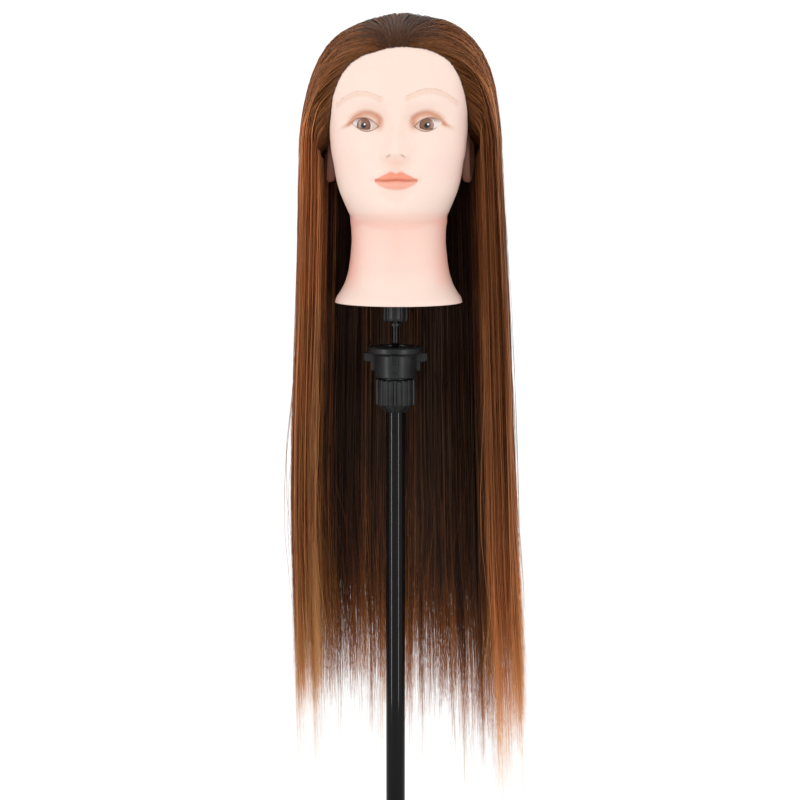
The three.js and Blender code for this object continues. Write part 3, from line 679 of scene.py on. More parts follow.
def skin_material():
    """Pale vinyl with its sprayed make-up, worked out from the head's painted distances."""
    n = Nodes("painted_vinyl")
    # pink that is partly airbrushed blush and partly painted shade under the jaw, the chin and the nose and
    # on the neck's sides
    tone = n.times(n.attribute("blush_and_shade"), 0.9, clamp=True)
    base = n.mix(tone, (0.885, 0.693, 0.604), (0.97, 0.53, 0.44))
    base = n.over(base, n.noise(26.0, 4.0), 0.10, (0.85, 0.58, 0.49))
    base = n.over(base, n.attribute("shadow"), 0.86, (0.55, 0.215, 0.098))
    # lips: edges sprayed softly, lighter below
    inside = n.ramp(n.math("MULTIPLY_ADD", n.attribute("lip_gap"), -0.25, 0.5), (0.30, 0.0), (0.78, 1.0))
    below = n.math("SUBTRACT", MOUTH_Z * MM + 0.001, n.split()["Z"])
    lip = n.mix(n.times(below, 350.0, clamp=True), (0.84, 0.295, 0.185), (0.86, 0.415, 0.31))
    lip = n.over(lip, n.noise(420.0, 2.0, (1.0, 1.0, 0.2)), 0.3, (0.80, 0.30, 0.19))
    base = n.over(base, inside, 0.95, lip)
    # painted shade in the groove where the lips part, darkest along the line
    parting = n.ramp(n.times(n.attribute("lip_line"), 0.25), (0.05, 1.0), (0.40, 0.0))
    base = n.over(base, parting, 0.55, (0.50, 0.12, 0.065))
    # brows: a pale sprayed band with fine strokes along its upper edge
    stroke = n.noise(420.0, 2.0, (1.0, 1.0, 0.6))
    edge = n.math("ADD", n.attribute("brow_gap"), n.times(stroke, 1.6))
    band = n.ramp(n.times(edge, 0.2), (0.35, 1.0), (0.95, 0.0), smooth=True)
    base = n.over(base, band, 0.24, (0.66, 0.36, 0.22))
    fine = n.math("ABSOLUTE", n.math("SUBTRACT", n.attribute("brow_lift"), stroke))
    line = n.ramp(n.times(fine, 0.4), (0.0, 1.0), (0.38, 0.0))
    line = n.times(line, n.ramp(n.noise(190.0, 2.0), (0.40, 0.25), (0.58, 1.0)))
    base = n.over(base, n.times(line, band), 0.62, (0.45, 0.22, 0.14))
    # lash lines; nostrils darkened as painted shade in their hollows; ears darkened as painted shade from
    # the hair over them
    lash = n.ramp(n.math("MULTIPLY_ADD", n.attribute("eye_gap"), 0.2, 0.5),
                  (0.36, 0.0), (0.47, 1.0), (0.53, 1.0), (0.68, 0.0))
    base = n.over(base, lash, 0.72, (0.14, 0.065, 0.045))
    # painted shade in the nostrils' hollows
    nostril = n.ramp(n.times(n.attribute("nostril"), 0.4), (0.10, 1.0), (0.65, 0.0), smooth=True)
    base = n.over(base, nostril, 0.5, (0.45, 0.20, 0.14))
    base = n.over(base, n.attribute("ear"), 0.96, (0.13, 0.042, 0.022))
    # rooted hair colours the scalp: the roots' dark brown, with painted shade under the hair
    roots = n.math("ADD", n.attribute("scalp"), n.times(n.noise(300.0), 1.2))
    rooted = n.ramp(n.times(roots, 0.5), (0.35, 0.0), (0.6, 1.0))
    n.set(colour=n.mix(rooted, base, (0.075, 0.033, 0.018)), rough=0.55, scatter=0.10, specular=0.2)
    n.shader.inputs["Subsurface Radius"].default_value = (0.006, 0.003, 0.002)
    n.shader.inputs["Subsurface Scale"].default_value = 0.6
    n.bump(n.noise(1500.0, 2.0), 0.06, 0.0002)
    return n.material


EYE_SIZE = (15.0, 9.0, 12.0)
EYE_Y = -66.2
EYE_TURN = 0.26
EYE_GAZE = {-1.0: 0.6, 1.0: -3.3}
EYE_RINGS, EYE_SPOKES = 72, 96


def make_eye(name, side):
    """A glossy domed eye: iris, pupil and a painted glint worked out from its own polar grid."""
    radius = np.linspace(0, 1, EYE_RINGS + 1)[1:] ** 1.05
    r, t = polar_grid(radius * math.pi / 2 * 1.1, EYE_SPOKES)
    dome = np.stack([EYE_SIZE[0] * np.sin(r) * np.cos(t), -EYE_SIZE[1] * np.cos(r),
                     EYE_SIZE[2] * np.sin(r) * np.sin(t)], 2).reshape(-1, 3)
    x, y, z = np.concatenate([[[0, -EYE_SIZE[1], 0]], dome]).T
    placed = np.stack([*rotated(x, y, side * EYE_TURN), z], 1)
    faces = face_list(grid_faces(EYE_RINGS, EYE_SPOKES, wrap=True) + 1)
    faces += [(0, 1 + i, 1 + (i + 1) % EYE_SPOKES) for i in range(EYE_SPOKES)]
    eye = mesh_object(name, placed + [HEAD_X + FACE_X + side * EYE_X, EYE_Y, EYE_Z], faces)
    across, up = x - EYE_GAZE[side], z + 0.8
    attribute(eye, "iris", np.hypot(across, up))
    attribute(eye, "glint", np.hypot(across - 1.2, up - 1.0))
    attribute(eye, "spoke", np.arctan2(up, across) / (2 * math.pi) + 0.5)
    attribute(eye, "rise", z)
    return eye


def eye_material():
    """Grey-brown iris with flecks and a reddish rim, a warm white shaded by the lid, and a glint."""
    n = Nodes("painted_eye")
    ring = n.times(n.attribute("iris"), 0.1)
    streak = n.add("ShaderNodeTexNoise", noise_dimensions="1D")
    streak.inputs["Scale"].default_value = 46.0
    streak.inputs["Detail"].default_value = 3.0
    n.link(n.attribute("spoke"), streak.inputs["W"])
    iris = n.ramp(ring, (0.0, 0.004), (0.20, 0.004), (0.26, (0.05, 0.040, 0.027)),
                  (0.38, (0.18, 0.125, 0.072)), (0.47, (0.11, 0.060, 0.038)),
                  (0.55, (0.31, 0.105, 0.065)), (0.63, (0.050, 0.016, 0.012)))
    flecks = n.ramp(streak.outputs["Fac"], (0.42, (0.30, 0.085, 0.05)), (0.54, (0.15, 0.105, 0.065)),
                    (0.66, (0.36, 0.27, 0.18)))
    iris = n.mix(n.ramp(ring, (0.2, 0.0), (0.3, 0.62), (0.58, 0.5), (0.66, 0.0)), iris, flecks)
    white = n.over((0.80, 0.68, 0.64), n.noise(120.0), 0.3, (0.83, 0.62, 0.56))
    colour = n.mix(n.ramp(ring, (0.66, 0.0), (0.71, 1.0)), iris, white)
    lid = n.ramp(n.times(n.attribute("rise"), 0.1), (0.10, 0.0), (0.62, 1.0))
    colour = n.over(colour, lid, 0.85, (0.22, 0.10, 0.06))
    glint = n.ramp(n.times(n.attribute("glint"), 0.25), (0.16, 1.0), (0.29, 0.0))
    return n.set(colour=n.mix(glint, colour, (0.95,) * 3), rough=0.25, specular=0.25, coat=0.06,
                 coat_rough=0.08)


# ---------- hair ----------
HAIR_CENTRE = np.array([3.0, 8.0, 1150.0])
# height, left, right, front and back of the hair's outside
HAIR_SECTIONS = np.array([
    [1000, -95.5, 108.5, -84, 113],
    [1061, -94.5, 106.5, -84, 114],
    [1100, -93.5, 103.5, -85, 115],
    [1121, -93.5, 103.0, -85, 115],
    [1141, -91.5, 101.5, -85, 114],
    [1161, -88, 99.5, -85, 111],
    [1181, -83, 95.5, -83, 105],
    [1201, -75, 88.5, -76, 95],
    [1221, -60, 75, -61, 77],
    [1238, -30, 50, -28, 46],
    [1245.5, -1, 16, 2, 16],
])
SHED_DIP = 17.0  # degrees below level
HALVINGS = 22


def level(points, sections, centre, square=None):
    """Below 1 inside a stack of lopsided ovals, above 1 outside it."""
    left, right, front, back = monotone(sections, points[..., 2])
    x, y = points[..., 0] - centre[0], points[..., 1] - centre[1]
    across = np.abs(x) / np.maximum(np.where(x < 0, centre[0] - left, right - centre[0]), 0.5)
    deep = np.abs(y) / np.maximum(np.where(y < 0, centre[1] - front, back - centre[1]), 0.5)
    power = 2.0 if square is None else np.where(y < 0, monotone(square, points[..., 2])[0], 2.0)
    return across**power + deep**power + 100.0 * (points[..., 2] > sections[-1, 0])


def towards(azimuth, rise):
    """Unit directions from degrees round from +X and degrees up."""
    a, e = np.radians(azimuth), np.radians(rise)
    return np.stack([np.cos(e) * np.cos(a), np.cos(e) * np.sin(a), np.sin(e)], -1)


def surface_table(sections, centre, square=None):
    """Distance from the hair's centre to such a surface, every 2 degrees round and every 2 up."""
    turn, rise = np.meshgrid(np.arange(-180, 182, 2), np.arange(-90, 92, 2))
    d = towards(turn, rise)
    low, high = np.full(turn.shape, 2.0), np.full(turn.shape, 260.0)
    for _ in range(HALVINGS):
        middle = (low + high) / 2
        inside = level(HAIR_CENTRE + d * middle[..., None], sections, centre, square) < 1
        low, high = np.where(inside, middle, low), np.where(inside, high, middle)
    return (low + high) / 2


def look_up(table, direction):
    """Bilinear reading of a surface table along unit directions."""
    u = (np.degrees(np.arctan2(direction[..., 1], direction[..., 0])) + 180) / 2
    v = (np.degrees(np.arcsin(np.clip(direction[..., 2], -1, 1))) + 90) / 2
    i = np.clip(np.floor(u).astype(int), 0, table.shape[1] - 2)
    j = np.clip(np.floor(v).astype(int), 0, table.shape[0] - 2)
    a, b = u - i, v - j
    low = table[j, i] * (1 - a) + table[j, i + 1] * a
    high = table[j + 1, i] * (1 - a) + table[j + 1, i + 1] * a
    return low * (1 - b) + high * b


def hair_surfaces():
    """Tables for the scalp and for the outside of the hair."""
    z, half, front, back, _ = HEAD_SECTIONS.T
    skull = np.stack([z, HEAD_X - half, HEAD_X + half, front, back], 1)
    scalp = surface_table(skull, (HEAD_X, HEAD_MID_Y), HEAD_SECTIONS[:, [0, 4]])
    return scalp, surface_table(HAIR_SECTIONS, HAIR_CENTRE[:2])


def unit(vectors):
    return vectors / np.linalg.norm(vectors, axis=-1, keepdims=True)


def root_directions(count, scalp, band, rng):
    """Directions to roots: spread over the scalp, or only within a band behind the hairline."""
    found = []
    while sum(len(f) for f in found) < count:
        d = unit(rng.normal(size=(40000, 3)))
        p = HAIR_CENTRE + d * look_up(scalp, d)[:, None]
        behind = p[:, 1] - hairline_y(p[:, 0] - HEAD_X, p[:, 2]) - np.abs(rng.normal(0, 0.7, len(d)))
        found.append(d[(behind > 0.3) & (behind < band) & (p[:, 2] > 1090)])
    return np.concatenate(found)[:count]


HEAD_STEPS = 15
FALL_STEPS = 13
END_Z = 570.0


def shed_azimuth(roots, rng):
    """Where each strand leaves the head, in degrees round: beside the ears or behind, by its root."""
    count = len(roots)
    side = np.sign(roots[:, 0] + rng.normal(0, 0.05, count))
    away = np.abs(roots[:, 0])
    forward = ease(-roots[:, 1], -0.1, 0.5)
    combed = 86.0 * np.exp(-((away / 0.14) ** 2)) - 10.0 + 14.0 * (1 - roots[:, 2]) * away
    straight = np.degrees(np.arctan2(roots[:, 1] + 0.34, away)) * 1.02 + 1.0
    settle = combed * forward + straight * (1 - forward) + rng.normal(0, 4.5, count)
    settle = np.clip(settle, -13 + rng.normal(0, 2.5, count), 92 + rng.normal(0, 6, count))
    return np.where(side > 0, settle, 180 - settle)


def strand_paths(roots, depth, end, surfaces, rng):
    """Paths from the roots, combed back over the head and then falling to a height, one row a strand."""
    scalp, outside = surfaces
    rise = np.degrees(np.arcsin(roots[:, 2]))
    settle = shed_azimuth(roots, rng)
    shed = towards(settle, -SHED_DIP - 14.0 * ease(30.0 - rise, 0, 40))
    # to the side a strand rounds the temple and drops; to the back it goes over the crown
    round_temple = unit(0.40 * roots + 0.75 * towards(settle, 1.15 * rise - 18.0))
    away = np.abs(roots[:, 0])
    comb = np.stack([roots[:, 0] * 0.8, 0.75 * (1 - 0.55 * away), -0.22 + 0.95 * roots[:, 2]], 1)
    over_crown = unit(roots + comb * np.clip(1.2 - 0.9 * (roots[:, 1:2] > 0.5), 0.2, 2))
    behind = ease(45.0 - np.abs(settle - 90), 0, 30)[:, None]
    control = unit(round_temple * (1 - behind) + over_crown * behind)
    low = ease(0.1 - roots[:, 2], 0, 0.5)[:, None]
    control = unit(control * (1 - low) + unit(roots + shed) * low)
    t = np.linspace(0, 1, HEAD_STEPS)[None, :, None]
    way = unit((1 - t) ** 2 * roots[:, None] + 2 * t * (1 - t) * control[:, None] + t**2 * shed[:, None])
    grown = ease(t[..., 0], -0.05, 0.5)
    inner, outer = look_up(scalp, way), look_up(outside, way)
    radius = inner + 0.9 + np.maximum(outer - inner - 0.9, 0.5) * depth[:, None] * grown
    on_head = HAIR_CENTRE + way * radius[..., None]
    leave = on_head[:, -1]
    fall = np.linspace(0, 1, FALL_STEPS + 1)[None, 1:] ** 1.25
    below = leave[:, 2:3] - (leave[:, 2:3] - end) * fall
    flat = leave[:, :2] - HAIR_CENTRE[:2]
    left = np.interp(below, [560, 640, 718, 800, 942, 1110], [0.05, 0.075, 0.105, 0.10, 0.045, 0.0])
    right = np.interp(below, [560, 616, 718, 942, 1110], [0.27, 0.25, 0.175, 0.09, 0.0])
    x = HAIR_CENTRE[0] + flat[:, 0:1] * (1 + np.where(flat[:, 0:1] < 0, left, right))
    y = HAIR_CENTRE[1] + flat[:, 1:2] * (1 - 0.10 * ease(1000 - below, 0, 400))
    return np.concatenate([on_head, np.stack([x, y, below], 2)], 1)


def gather(paths, centres, pull, rng):
    """Draws the lower ends of neighbouring strands together into pointed locks; returns each one's lock."""
    foot = paths[:, -1, :2]
    lock = np.argmin(((foot[:, None] - foot[centres][None]) ** 2).sum(2), 1)
    guide = paths[centres][lock]
    amount = (pull[lock] * rng.uniform(0.75, 1.0, len(lock)))[:, None]
    amount = amount * ease(705.0 - paths[..., 2], 0, 150.0)
    paths[..., :2] += (guide[..., :2] - paths[..., :2]) * amount[..., None]
    return lock


def wave(paths, rng, size, start, full):
    """Small wandering of each strand about its path, growing between two shares of its length."""
    count, steps, _ = paths.shape
    s = np.linspace(0, 1, steps)[None]
    for axis in (0, 1):
        for low, high, share in ((0.6, 2.2, 1.0), (3.0, 6.0, 0.3)):
            turns, phase = rng.uniform(low, high, (count, 1)), rng.uniform(0, 1, (count, 1))
            sway = np.clip(rng.normal(0, 1, (count, 1)), -2, 2) * size * share
            sway = sway * np.sin(2 * math.pi * (turns * s + phase))
            paths[..., axis] += sway * ease(s, start, full)


TINTS = 64


def ribbons(name, paths, tint, width, rng):
    """One mesh of thin tapered ribbons along the paths; the UV holds tint across and length up."""
    count, steps, _ = paths.shape
    tangent = unit(np.gradient(paths, axis=1))
    outward = paths - np.array([HAIR_CENTRE[0], HAIR_CENTRE[1], 0.0])
    outward[..., 2] = np.maximum(paths[..., 2] - HAIR_CENTRE[2], 0.0)
    across = unit(np.cross(tangent, unit(outward)))
    lift = unit(np.cross(across, tangent))
    twist = rng.normal(0, 0.3, (count, 1)) + rng.normal(0, 0.35, (count, 1)) * np.linspace(0, 1, steps)[None]
    across = across * np.cos(twist)[..., None] + lift * np.sin(twist)[..., None]
    s = np.linspace(0, 1, steps)[None]
    shape = (0.5 + 0.5 * ease(s, 0, 0.15)) * (1 - 0.88 * ease(s, 0.82, 0.99))
    half = 0.5 * width[:, None] * shape
    left, right = paths - across * half[..., None], paths + across * half[..., None]
    points = np.stack([left, right], 2).reshape(-1, 3)
    base = (np.arange(count)[:, None] * steps + np.arange(steps - 1)[None]).ravel() * 2
    made = mesh_object(name, points, np.stack([base, base + 1, base + 3, base + 2], 1))
    u = (np.floor(tint * (TINTS - 1)) + 0.5) / TINTS
    v = 0.01 + 0.98 * s[0]
    corner_u = np.repeat(u, (steps - 1) * 4) + np.tile([-0.3, 0.3, 0.3, -0.3], count * (steps - 1)) / TINTS
    corner_v = np.tile(np.stack([v[:-1], v[:-1], v[1:], v[1:]], 1).ravel(), count)
    layer = made.data.uv_layers.new(name="OFBake")
    layer.data.foreach_set("uv", np.stack([corner_u, corner_v], 1).astype(np.float32).ravel())
    return made


def hair_material():
    """Brown fibre: tint runs across the UV, from the darkest inner strands, partly painted shade, to caramel
    streaks; along the length it carries painted light and shade too.
    """
    n = Nodes("hair_strands")
    spot = n.split(n.add("ShaderNodeUVMap", uv_map="OFBake").outputs["UV"])
    across, length = spot["X"], spot["Y"]
    # the lowest tints, near-black and reddish, are partly the inner strands' own colour and partly painted
    # shade inside the hair
    body = n.ramp(across, (0.0, (0.025, 0.0145, 0.0115)), (0.20, (0.036, 0.0175, 0.0125)),
                  (0.40, (0.185, 0.064, 0.023)), (0.60, (0.44, 0.158, 0.056)),
                  (0.82, (0.58, 0.235, 0.092)), (1.0, (0.66, 0.34, 0.16)))
    tip = n.ramp(across, (0.0, (0.18, 0.050, 0.016)), (0.35, (0.36, 0.135, 0.038)),
                 (0.75, (0.58, 0.30, 0.10)), (1.0, (0.62, 0.38, 0.17)))
    colour = n.mix(n.ramp(length, (0.90, 0.0), (0.985, 1.0), smooth=True), body, tip)
    # the two sides fade differently towards their ends: painted light and shade along the lengths, set for
    # each side, darker stretches as painted shade and brighter ones as painted sheen
    left = n.ramp(length, (0.25, 0.95), (0.40, 1.0), (0.66, 0.72), (0.80, 0.78), (0.88, 1.12),
                  (0.93, 1.45), (0.975, 1.55))
    right = n.ramp(length, (0.25, 0.84), (0.38, 0.98), (0.48, 1.40), (0.66, 1.10), (0.80, 0.93),
                   (0.87, 0.80), (0.93, 1.10), (0.975, 1.35))
    on_left = n.math("MULTIPLY_ADD", n.split()["X"], 8.0, 0.5, clamp=True)
    colour = n.mix(1.0, colour, n.mix(on_left, right, left), "MULTIPLY")
    # the combed crown is flatter and darker than the lengths
    crown = n.ramp(length, (0.0, 0.90), (0.12, 0.74), (0.26, 0.32), (0.40, 0.0))
    under = n.ramp(across, (0.35, (0.046, 0.015, 0.004)), (0.60, (0.092, 0.030, 0.008)),
                   (0.85, (0.150, 0.052, 0.017)))
    n.shader.inputs["Specular Tint"].default_value = (1.0, 0.55, 0.32, 1.0)
    return n.set(colour=n.mix(crown, colour, under), rough=0.45, specular=0.12)


# seen from above, degrees from the head's left side towards the back
HAIR_GROUPS = {
    "hair_left_side_lengths": (-90, 22),
    "hair_left_lengths": (22, 56),
    "hair_back_left_lengths": (56, 90),
    "hair_back_right_lengths": (90, 124),
    "hair_right_lengths": (124, 158),
    "hair_right_side_lengths": (158, 270),
}


STRANDS, QUICK_STRANDS = 17000, 6200
LOCKS = 520


def strand_depths(roots, rng):
    """How far out each strand lies: rooted high over rooted low, and none beside the ear against it."""
    turn = np.degrees(np.arctan2(roots[:, 1], np.abs(roots[:, 0])))
    depth = 0.10 + 0.88 * ease(roots[:, 2], -0.5, 0.66) + rng.normal(0, 0.09, len(roots))
    return np.clip(depth, 0.05 + 0.40 * ease(50.0 - turn, 0, 30), 1.0)


def trim(paths, centres, lock, rng):
    """Gives each lock its own length, and ends its strands at different heights."""
    total = len(paths)
    on_left = ease(paths[centres, -1, 0], -60, 110)
    lock_end = 556.0 - 28.0 * on_left + rng.normal(0, 16.0, len(centres))
    long_lock = rng.random(len(centres)) < 0.10 + 0.14 * on_left
    lock_end -= np.where(long_lock, rng.uniform(15, 80, len(centres)), 0)
    middle = ease(90.0 - np.abs(paths[:, -1, 0] - HAIR_CENTRE[0]), 0, 50)
    end = lock_end[lock] + np.minimum(rng.exponential(34.0, total) * (1 + 0.6 * middle), 180.0)
    wisp = rng.random(total) < 0.06
    end -= np.where(wisp, rng.uniform(15, 60, total), 0)
    share = (paths[..., 2] - 1000.0) / (END_Z - 1000.0)
    paths[..., 2] += np.clip(share, 0, 1) * (end - END_Z)[:, None]


def tints(turn, depth, side, rng):
    """Caramel streaks outside and down the front edges, where the lighter tint is painted light; dark and
    reddish strands inside, partly their own colour and partly painted shade; strands facing sideways, the
    outermost ones and the +X side darker as painted shade.
    """
    total = len(turn)
    sideways = 90 - np.abs(turn - 90)
    front_edge = ease(38.0 - sideways, 0, 30)
    # front-edge strands count as outer ones, so they take the lighter tints as painted light
    shown = np.maximum(depth, 0.30 + 0.55 * front_edge)
    streak = 0.5 + 0.5 * np.sin(turn / 3.0 + 2.0 * np.sin(turn / 8.0))
    # deeper strands darker, partly their own colour and partly painted shade of the hair's inside; front
    # edges lighter as painted light; caramel streaks round the head
    tint = 0.02 + 0.56 * ease(shown, 0.15, 0.85) + 0.16 * front_edge + 0.18 * (streak - 0.5)
    # random tone, and the +X side a touch darker as painted shade
    tint += rng.normal(0, 0.10, total) - 0.035 * side * (shown > 0.45)
    # strands facing sideways darker as painted shade
    tint -= 0.11 * ease(sideways, 4, 34) * ease(shown, 0.4, 0.7)
    # the outermost strands darker as painted shade
    tint -= 0.17 * ease(depth, 0.60, 0.92)
    light = (rng.random(total) < 0.06 + 0.14 * streak) & (shown > 0.5)
    return np.clip(tint + np.where(light, rng.uniform(0.08, 0.24, total), 0), 0, 0.999)


def make_hair():
    rng = np.random.default_rng(11)
    surfaces = hair_surfaces()
    total = STRANDS
    edge = total // 6
    roots = np.concatenate([root_directions(total - edge, surfaces[0], 400.0, rng),
                            root_directions(edge, surfaces[0], 5.0, rng)])
    depth = strand_depths(roots, rng)
    paths = strand_paths(roots, depth, END_Z, surfaces, rng)
    stray = rng.random(total) < 0.02
    wave(paths, rng, 1.4, 0.12, 0.6)
    wave(paths, rng, np.where(stray, 5.5, 0.0)[:, None], 0.5, 0.95)
    centres = rng.choice(total, LOCKS, replace=False)
    lock = gather(paths, centres, rng.uniform(0.15, 0.85, LOCKS), rng)
    flare = rng.normal(0, 1, (total, 1, 2)) * np.where(rng.random(total) < 0.12, 9.0, 2.4)[:, None, None]
    paths[..., :2] += flare * ease(760.0 - paths[..., 2:], 0, 220.0) ** 2
    trim(paths, centres, lock, rng)
    shed = paths[:, HEAD_STEPS]
    turn = np.degrees(np.arctan2(shed[:, 1] - HAIR_CENTRE[1], shed[:, 0]))
    turn = np.where(turn < -90, turn + 360, turn)
    tint = tints(turn, depth, np.sign(shed[:, 0]), rng)
    width = rng.uniform(0.4, 0.9, total) * 1.0
    material = hair_material()
    made = []
    for name, (first, last) in HAIR_GROUPS.items():
        chosen = (turn >= first) & (turn < last)
        piece = ribbons(name, paths[chosen], tint[chosen], width[chosen], rng)
        piece.data.materials.append(material)
        made.append(piece)
    return made


# ---------- turned and moulded stand pieces ----------
SLOTS = {row["node"]: row["material_slot"] for row in frame["record"]["subparts"]}


def body_of_node(node):
    return next(body for body, nodes in frame["record"]["behaviour"]["bodies"].items() if node in nodes)


def eased(profile, closed, size=0.5, steps=3):
    """A profile of radius and height whose corners are small curves."""
    points = np.array(profile, float)
    out = []
    for k, here in enumerate(points):
        if not closed and k in (0, len(points) - 1):
            out.append(here)
            continue
        back, ahead = points[k - 1] - here, points[(k + 1) % len(points)] - here
        reach = min(size, 0.45 * np.linalg.norm(back), 0.45 * np.linalg.norm(ahead))
        start = here + back / np.linalg.norm(back) * reach
        end = here + ahead / np.linalg.norm(ahead) * reach
        for t in np.linspace(0, 1, steps + 1):
            out.append((1 - t) ** 2 * start + 2 * t * (1 - t) * here + t * t * end)
    return np.array(out)


def turned(profile, closed=True, segments=96, size=0.5, relief=None):
    """Points and faces of a turned shape; an open profile is capped flat at both ends."""
    rows = eased(profile, closed, size)
    angle = np.linspace(0, 2 * math.pi, segments, endpoint=False)[None]
    radius, height = rows[:, 0:1] + 0 * angle, rows[:, 1:2] + 0 * angle
    if relief is not None:
        radius = relief(radius, angle, height)
    points = np.stack([radius * np.cos(angle), radius * np.sin(angle), height], 2).reshape(-1, 3)
    faces = face_list(grid_faces(len(rows), segments, wrap=True))
    last = (len(rows) - 1) * segments
    if closed:
        faces += [(last + k, last + (k + 1) % segments, (k + 1) % segments, k) for k in range(segments)]
    else:
        faces += [tuple(range(segments))[::-1], tuple(range(last, last + segments))]
    return points, faces


def brick(x, y, z, size=0.4):
    """A box with eased upright edges, as a stack of rounded rectangles."""
    corner = np.radians([0, 30, 60, 90])
    outline = []
    for sx, sy, first in ((1, 1, 0), (-1, 1, 90), (-1, -1, 180), (1, -1, 270)):
        cx = x[1] - size if sx > 0 else x[0] + size
        cy = y[1] - size if sy > 0 else y[0] + size
        outline += [(cx + size * math.cos(a), cy + size * math.sin(a)) for a in corner + math.radians(first)]
    outline = np.array(outline)
    middle = outline.mean(0)
    rows = []
    for height, inset in ((z[0], size), (z[0] + size, 0), (z[1] - size, 0), (z[1], size)):
        shrink = 1 - inset / np.abs(outline - middle).max(0)
        rows.append(np.c_[middle + (outline - middle) * shrink, np.full(len(outline), height)])
    count = len(outline)
    faces = face_list(grid_faces(4, count, wrap=True))
    faces += [tuple(range(count))[::-1], tuple(range(3 * count, 4 * count))]
    return np.concatenate(rows), faces


def spun(points, degrees):
    """Turned about the mast."""
    x, y, z = np.asarray(points).T
    return np.stack([*rotated(x, y, math.radians(degrees)), z], 1)


def along_y(shape, height):
    """Turns a shape made about +Z to lie along +Y at a height."""
    points, faces = shape
    x, y, z = points.T
    return np.stack([x, z, height - y], 1), faces


SHARP = math.radians(35)
FLAT = math.radians(0.5)


def rebuilt(made, change):
    """Changes an object's mesh by a function of its editable form."""
    shape = bmesh.new()
    shape.from_mesh(made.data)
    change(shape)
    shape.to_mesh(made.data)
    shape.free()


def outward(made):
    """Makes the faces point out."""
    rebuilt(made, lambda shape: bmesh.ops.recalc_face_normals(shape, faces=shape.faces))


def cleaned(shape):
    """Joins an exported mesh's corners and merges its flat triangles."""
    bmesh.ops.remove_doubles(shape, verts=shape.verts, dist=1e-6)
    bmesh.ops.dissolve_limit(shape, angle_limit=FLAT, verts=shape.verts, edges=shape.edges)


def unite(name, shapes):
    """One closed mesh from several overlapping shapes."""
    parts = [mesh_object(f"{name}_{k}", points, faces) for k, (points, faces) in enumerate(shapes)]
    for part in parts:
        outward(part)
    base = parts[0]
    for other in parts[1:]:
        modifier = base.modifiers.new("unite", "BOOLEAN")
        modifier.operation, modifier.solver, modifier.object = "UNION", "EXACT", other
    evaluated = base.evaluated_get(bpy.context.evaluated_depsgraph_get())
    mesh = bpy.data.meshes.new_from_object(evaluated)
    for part in parts:
        bpy.data.objects.remove(part)
    return placed_object(name, mesh)


def finish(made, node):
    made.data.materials.clear()
    made.data.materials.append(FINISHES[SLOTS[node]])


def stand_in(made, node):
    """Gives a piece the finish, body and slot of the CAD node that it replaces."""
    finish(made, node)
    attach(made, body_of_node(node))
    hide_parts(node)


def shaded(made, node):
    made.data.polygons.foreach_set("use_smooth", np.ones(len(made.data.polygons), dtype=bool))
    made.data.set_sharp_from_angle(angle=SHARP)
    stand_in(made, node)


def stand_piece(node, *shapes):
    """A finely made piece that stands for a CAD node."""
    made = unite(f"{node}_fine", shapes)
    outward(made)
    shaded(made, node)


def smoothed_piece(node):
    """A CAD shape that is right, with its round sides shaded round."""
    made = placed_object(f"{node}_smooth", frame["nodes"][node].data.copy())
    made.matrix_world = frame["nodes"][node].matrix_world
    rebuilt(made, cleaned)
    shaded(made, node)


# the stand's sizes, in millimetres
LEG_ANGLES = (90, 210, 330)
PIVOT = (34.0, 290.0)
FOOT_REACH = 318.0
FOOT_R = 16.0
FOOT_FLAT_R = 8.0
FOOT_GRIP = 40.0  # how far the rubber foot reaches up the leg
GROOVES, GROOVE_STEP = 4, 5.5
LEG_R, LEG_WALL = 8.0, 1.4
LOWER_R, LOWER_WALL = 12.5, 1.5
UPPER_R, UPPER_WALL = 9.6, 1.2
CLAMP_Z = (386.0, 430.0)
KNOB_Z = 420.0
KNOB_LOBES = 5
NUT_FLUTES = 16
PLUG_RIBS = 8
COLLET_SLITS = 12


def tube_shape(outer, wall, low, high):
    return turned([(outer - wall, low), (outer, low), (outer, high), (outer - wall, high)], size=0.35)


def make_tubes():
    stand_piece("upper_tube", tube_shape(UPPER_R, UPPER_WALL, *heights("upper_tube")))
    low, high = heights("lower_tube")
    stand_piece("lower_tube", tube_shape(LOWER_R, LOWER_WALL, low, high))
    bore = LOWER_R - 1.8
    cap = [(LOWER_R - 1.5, low - 4), (LOWER_R, low - 2.5), (LOWER_R, low - 0.3), (bore, low - 0.3),
           (bore, low + 12)]
    stand_piece("end_cap", turned(cap, closed=False))


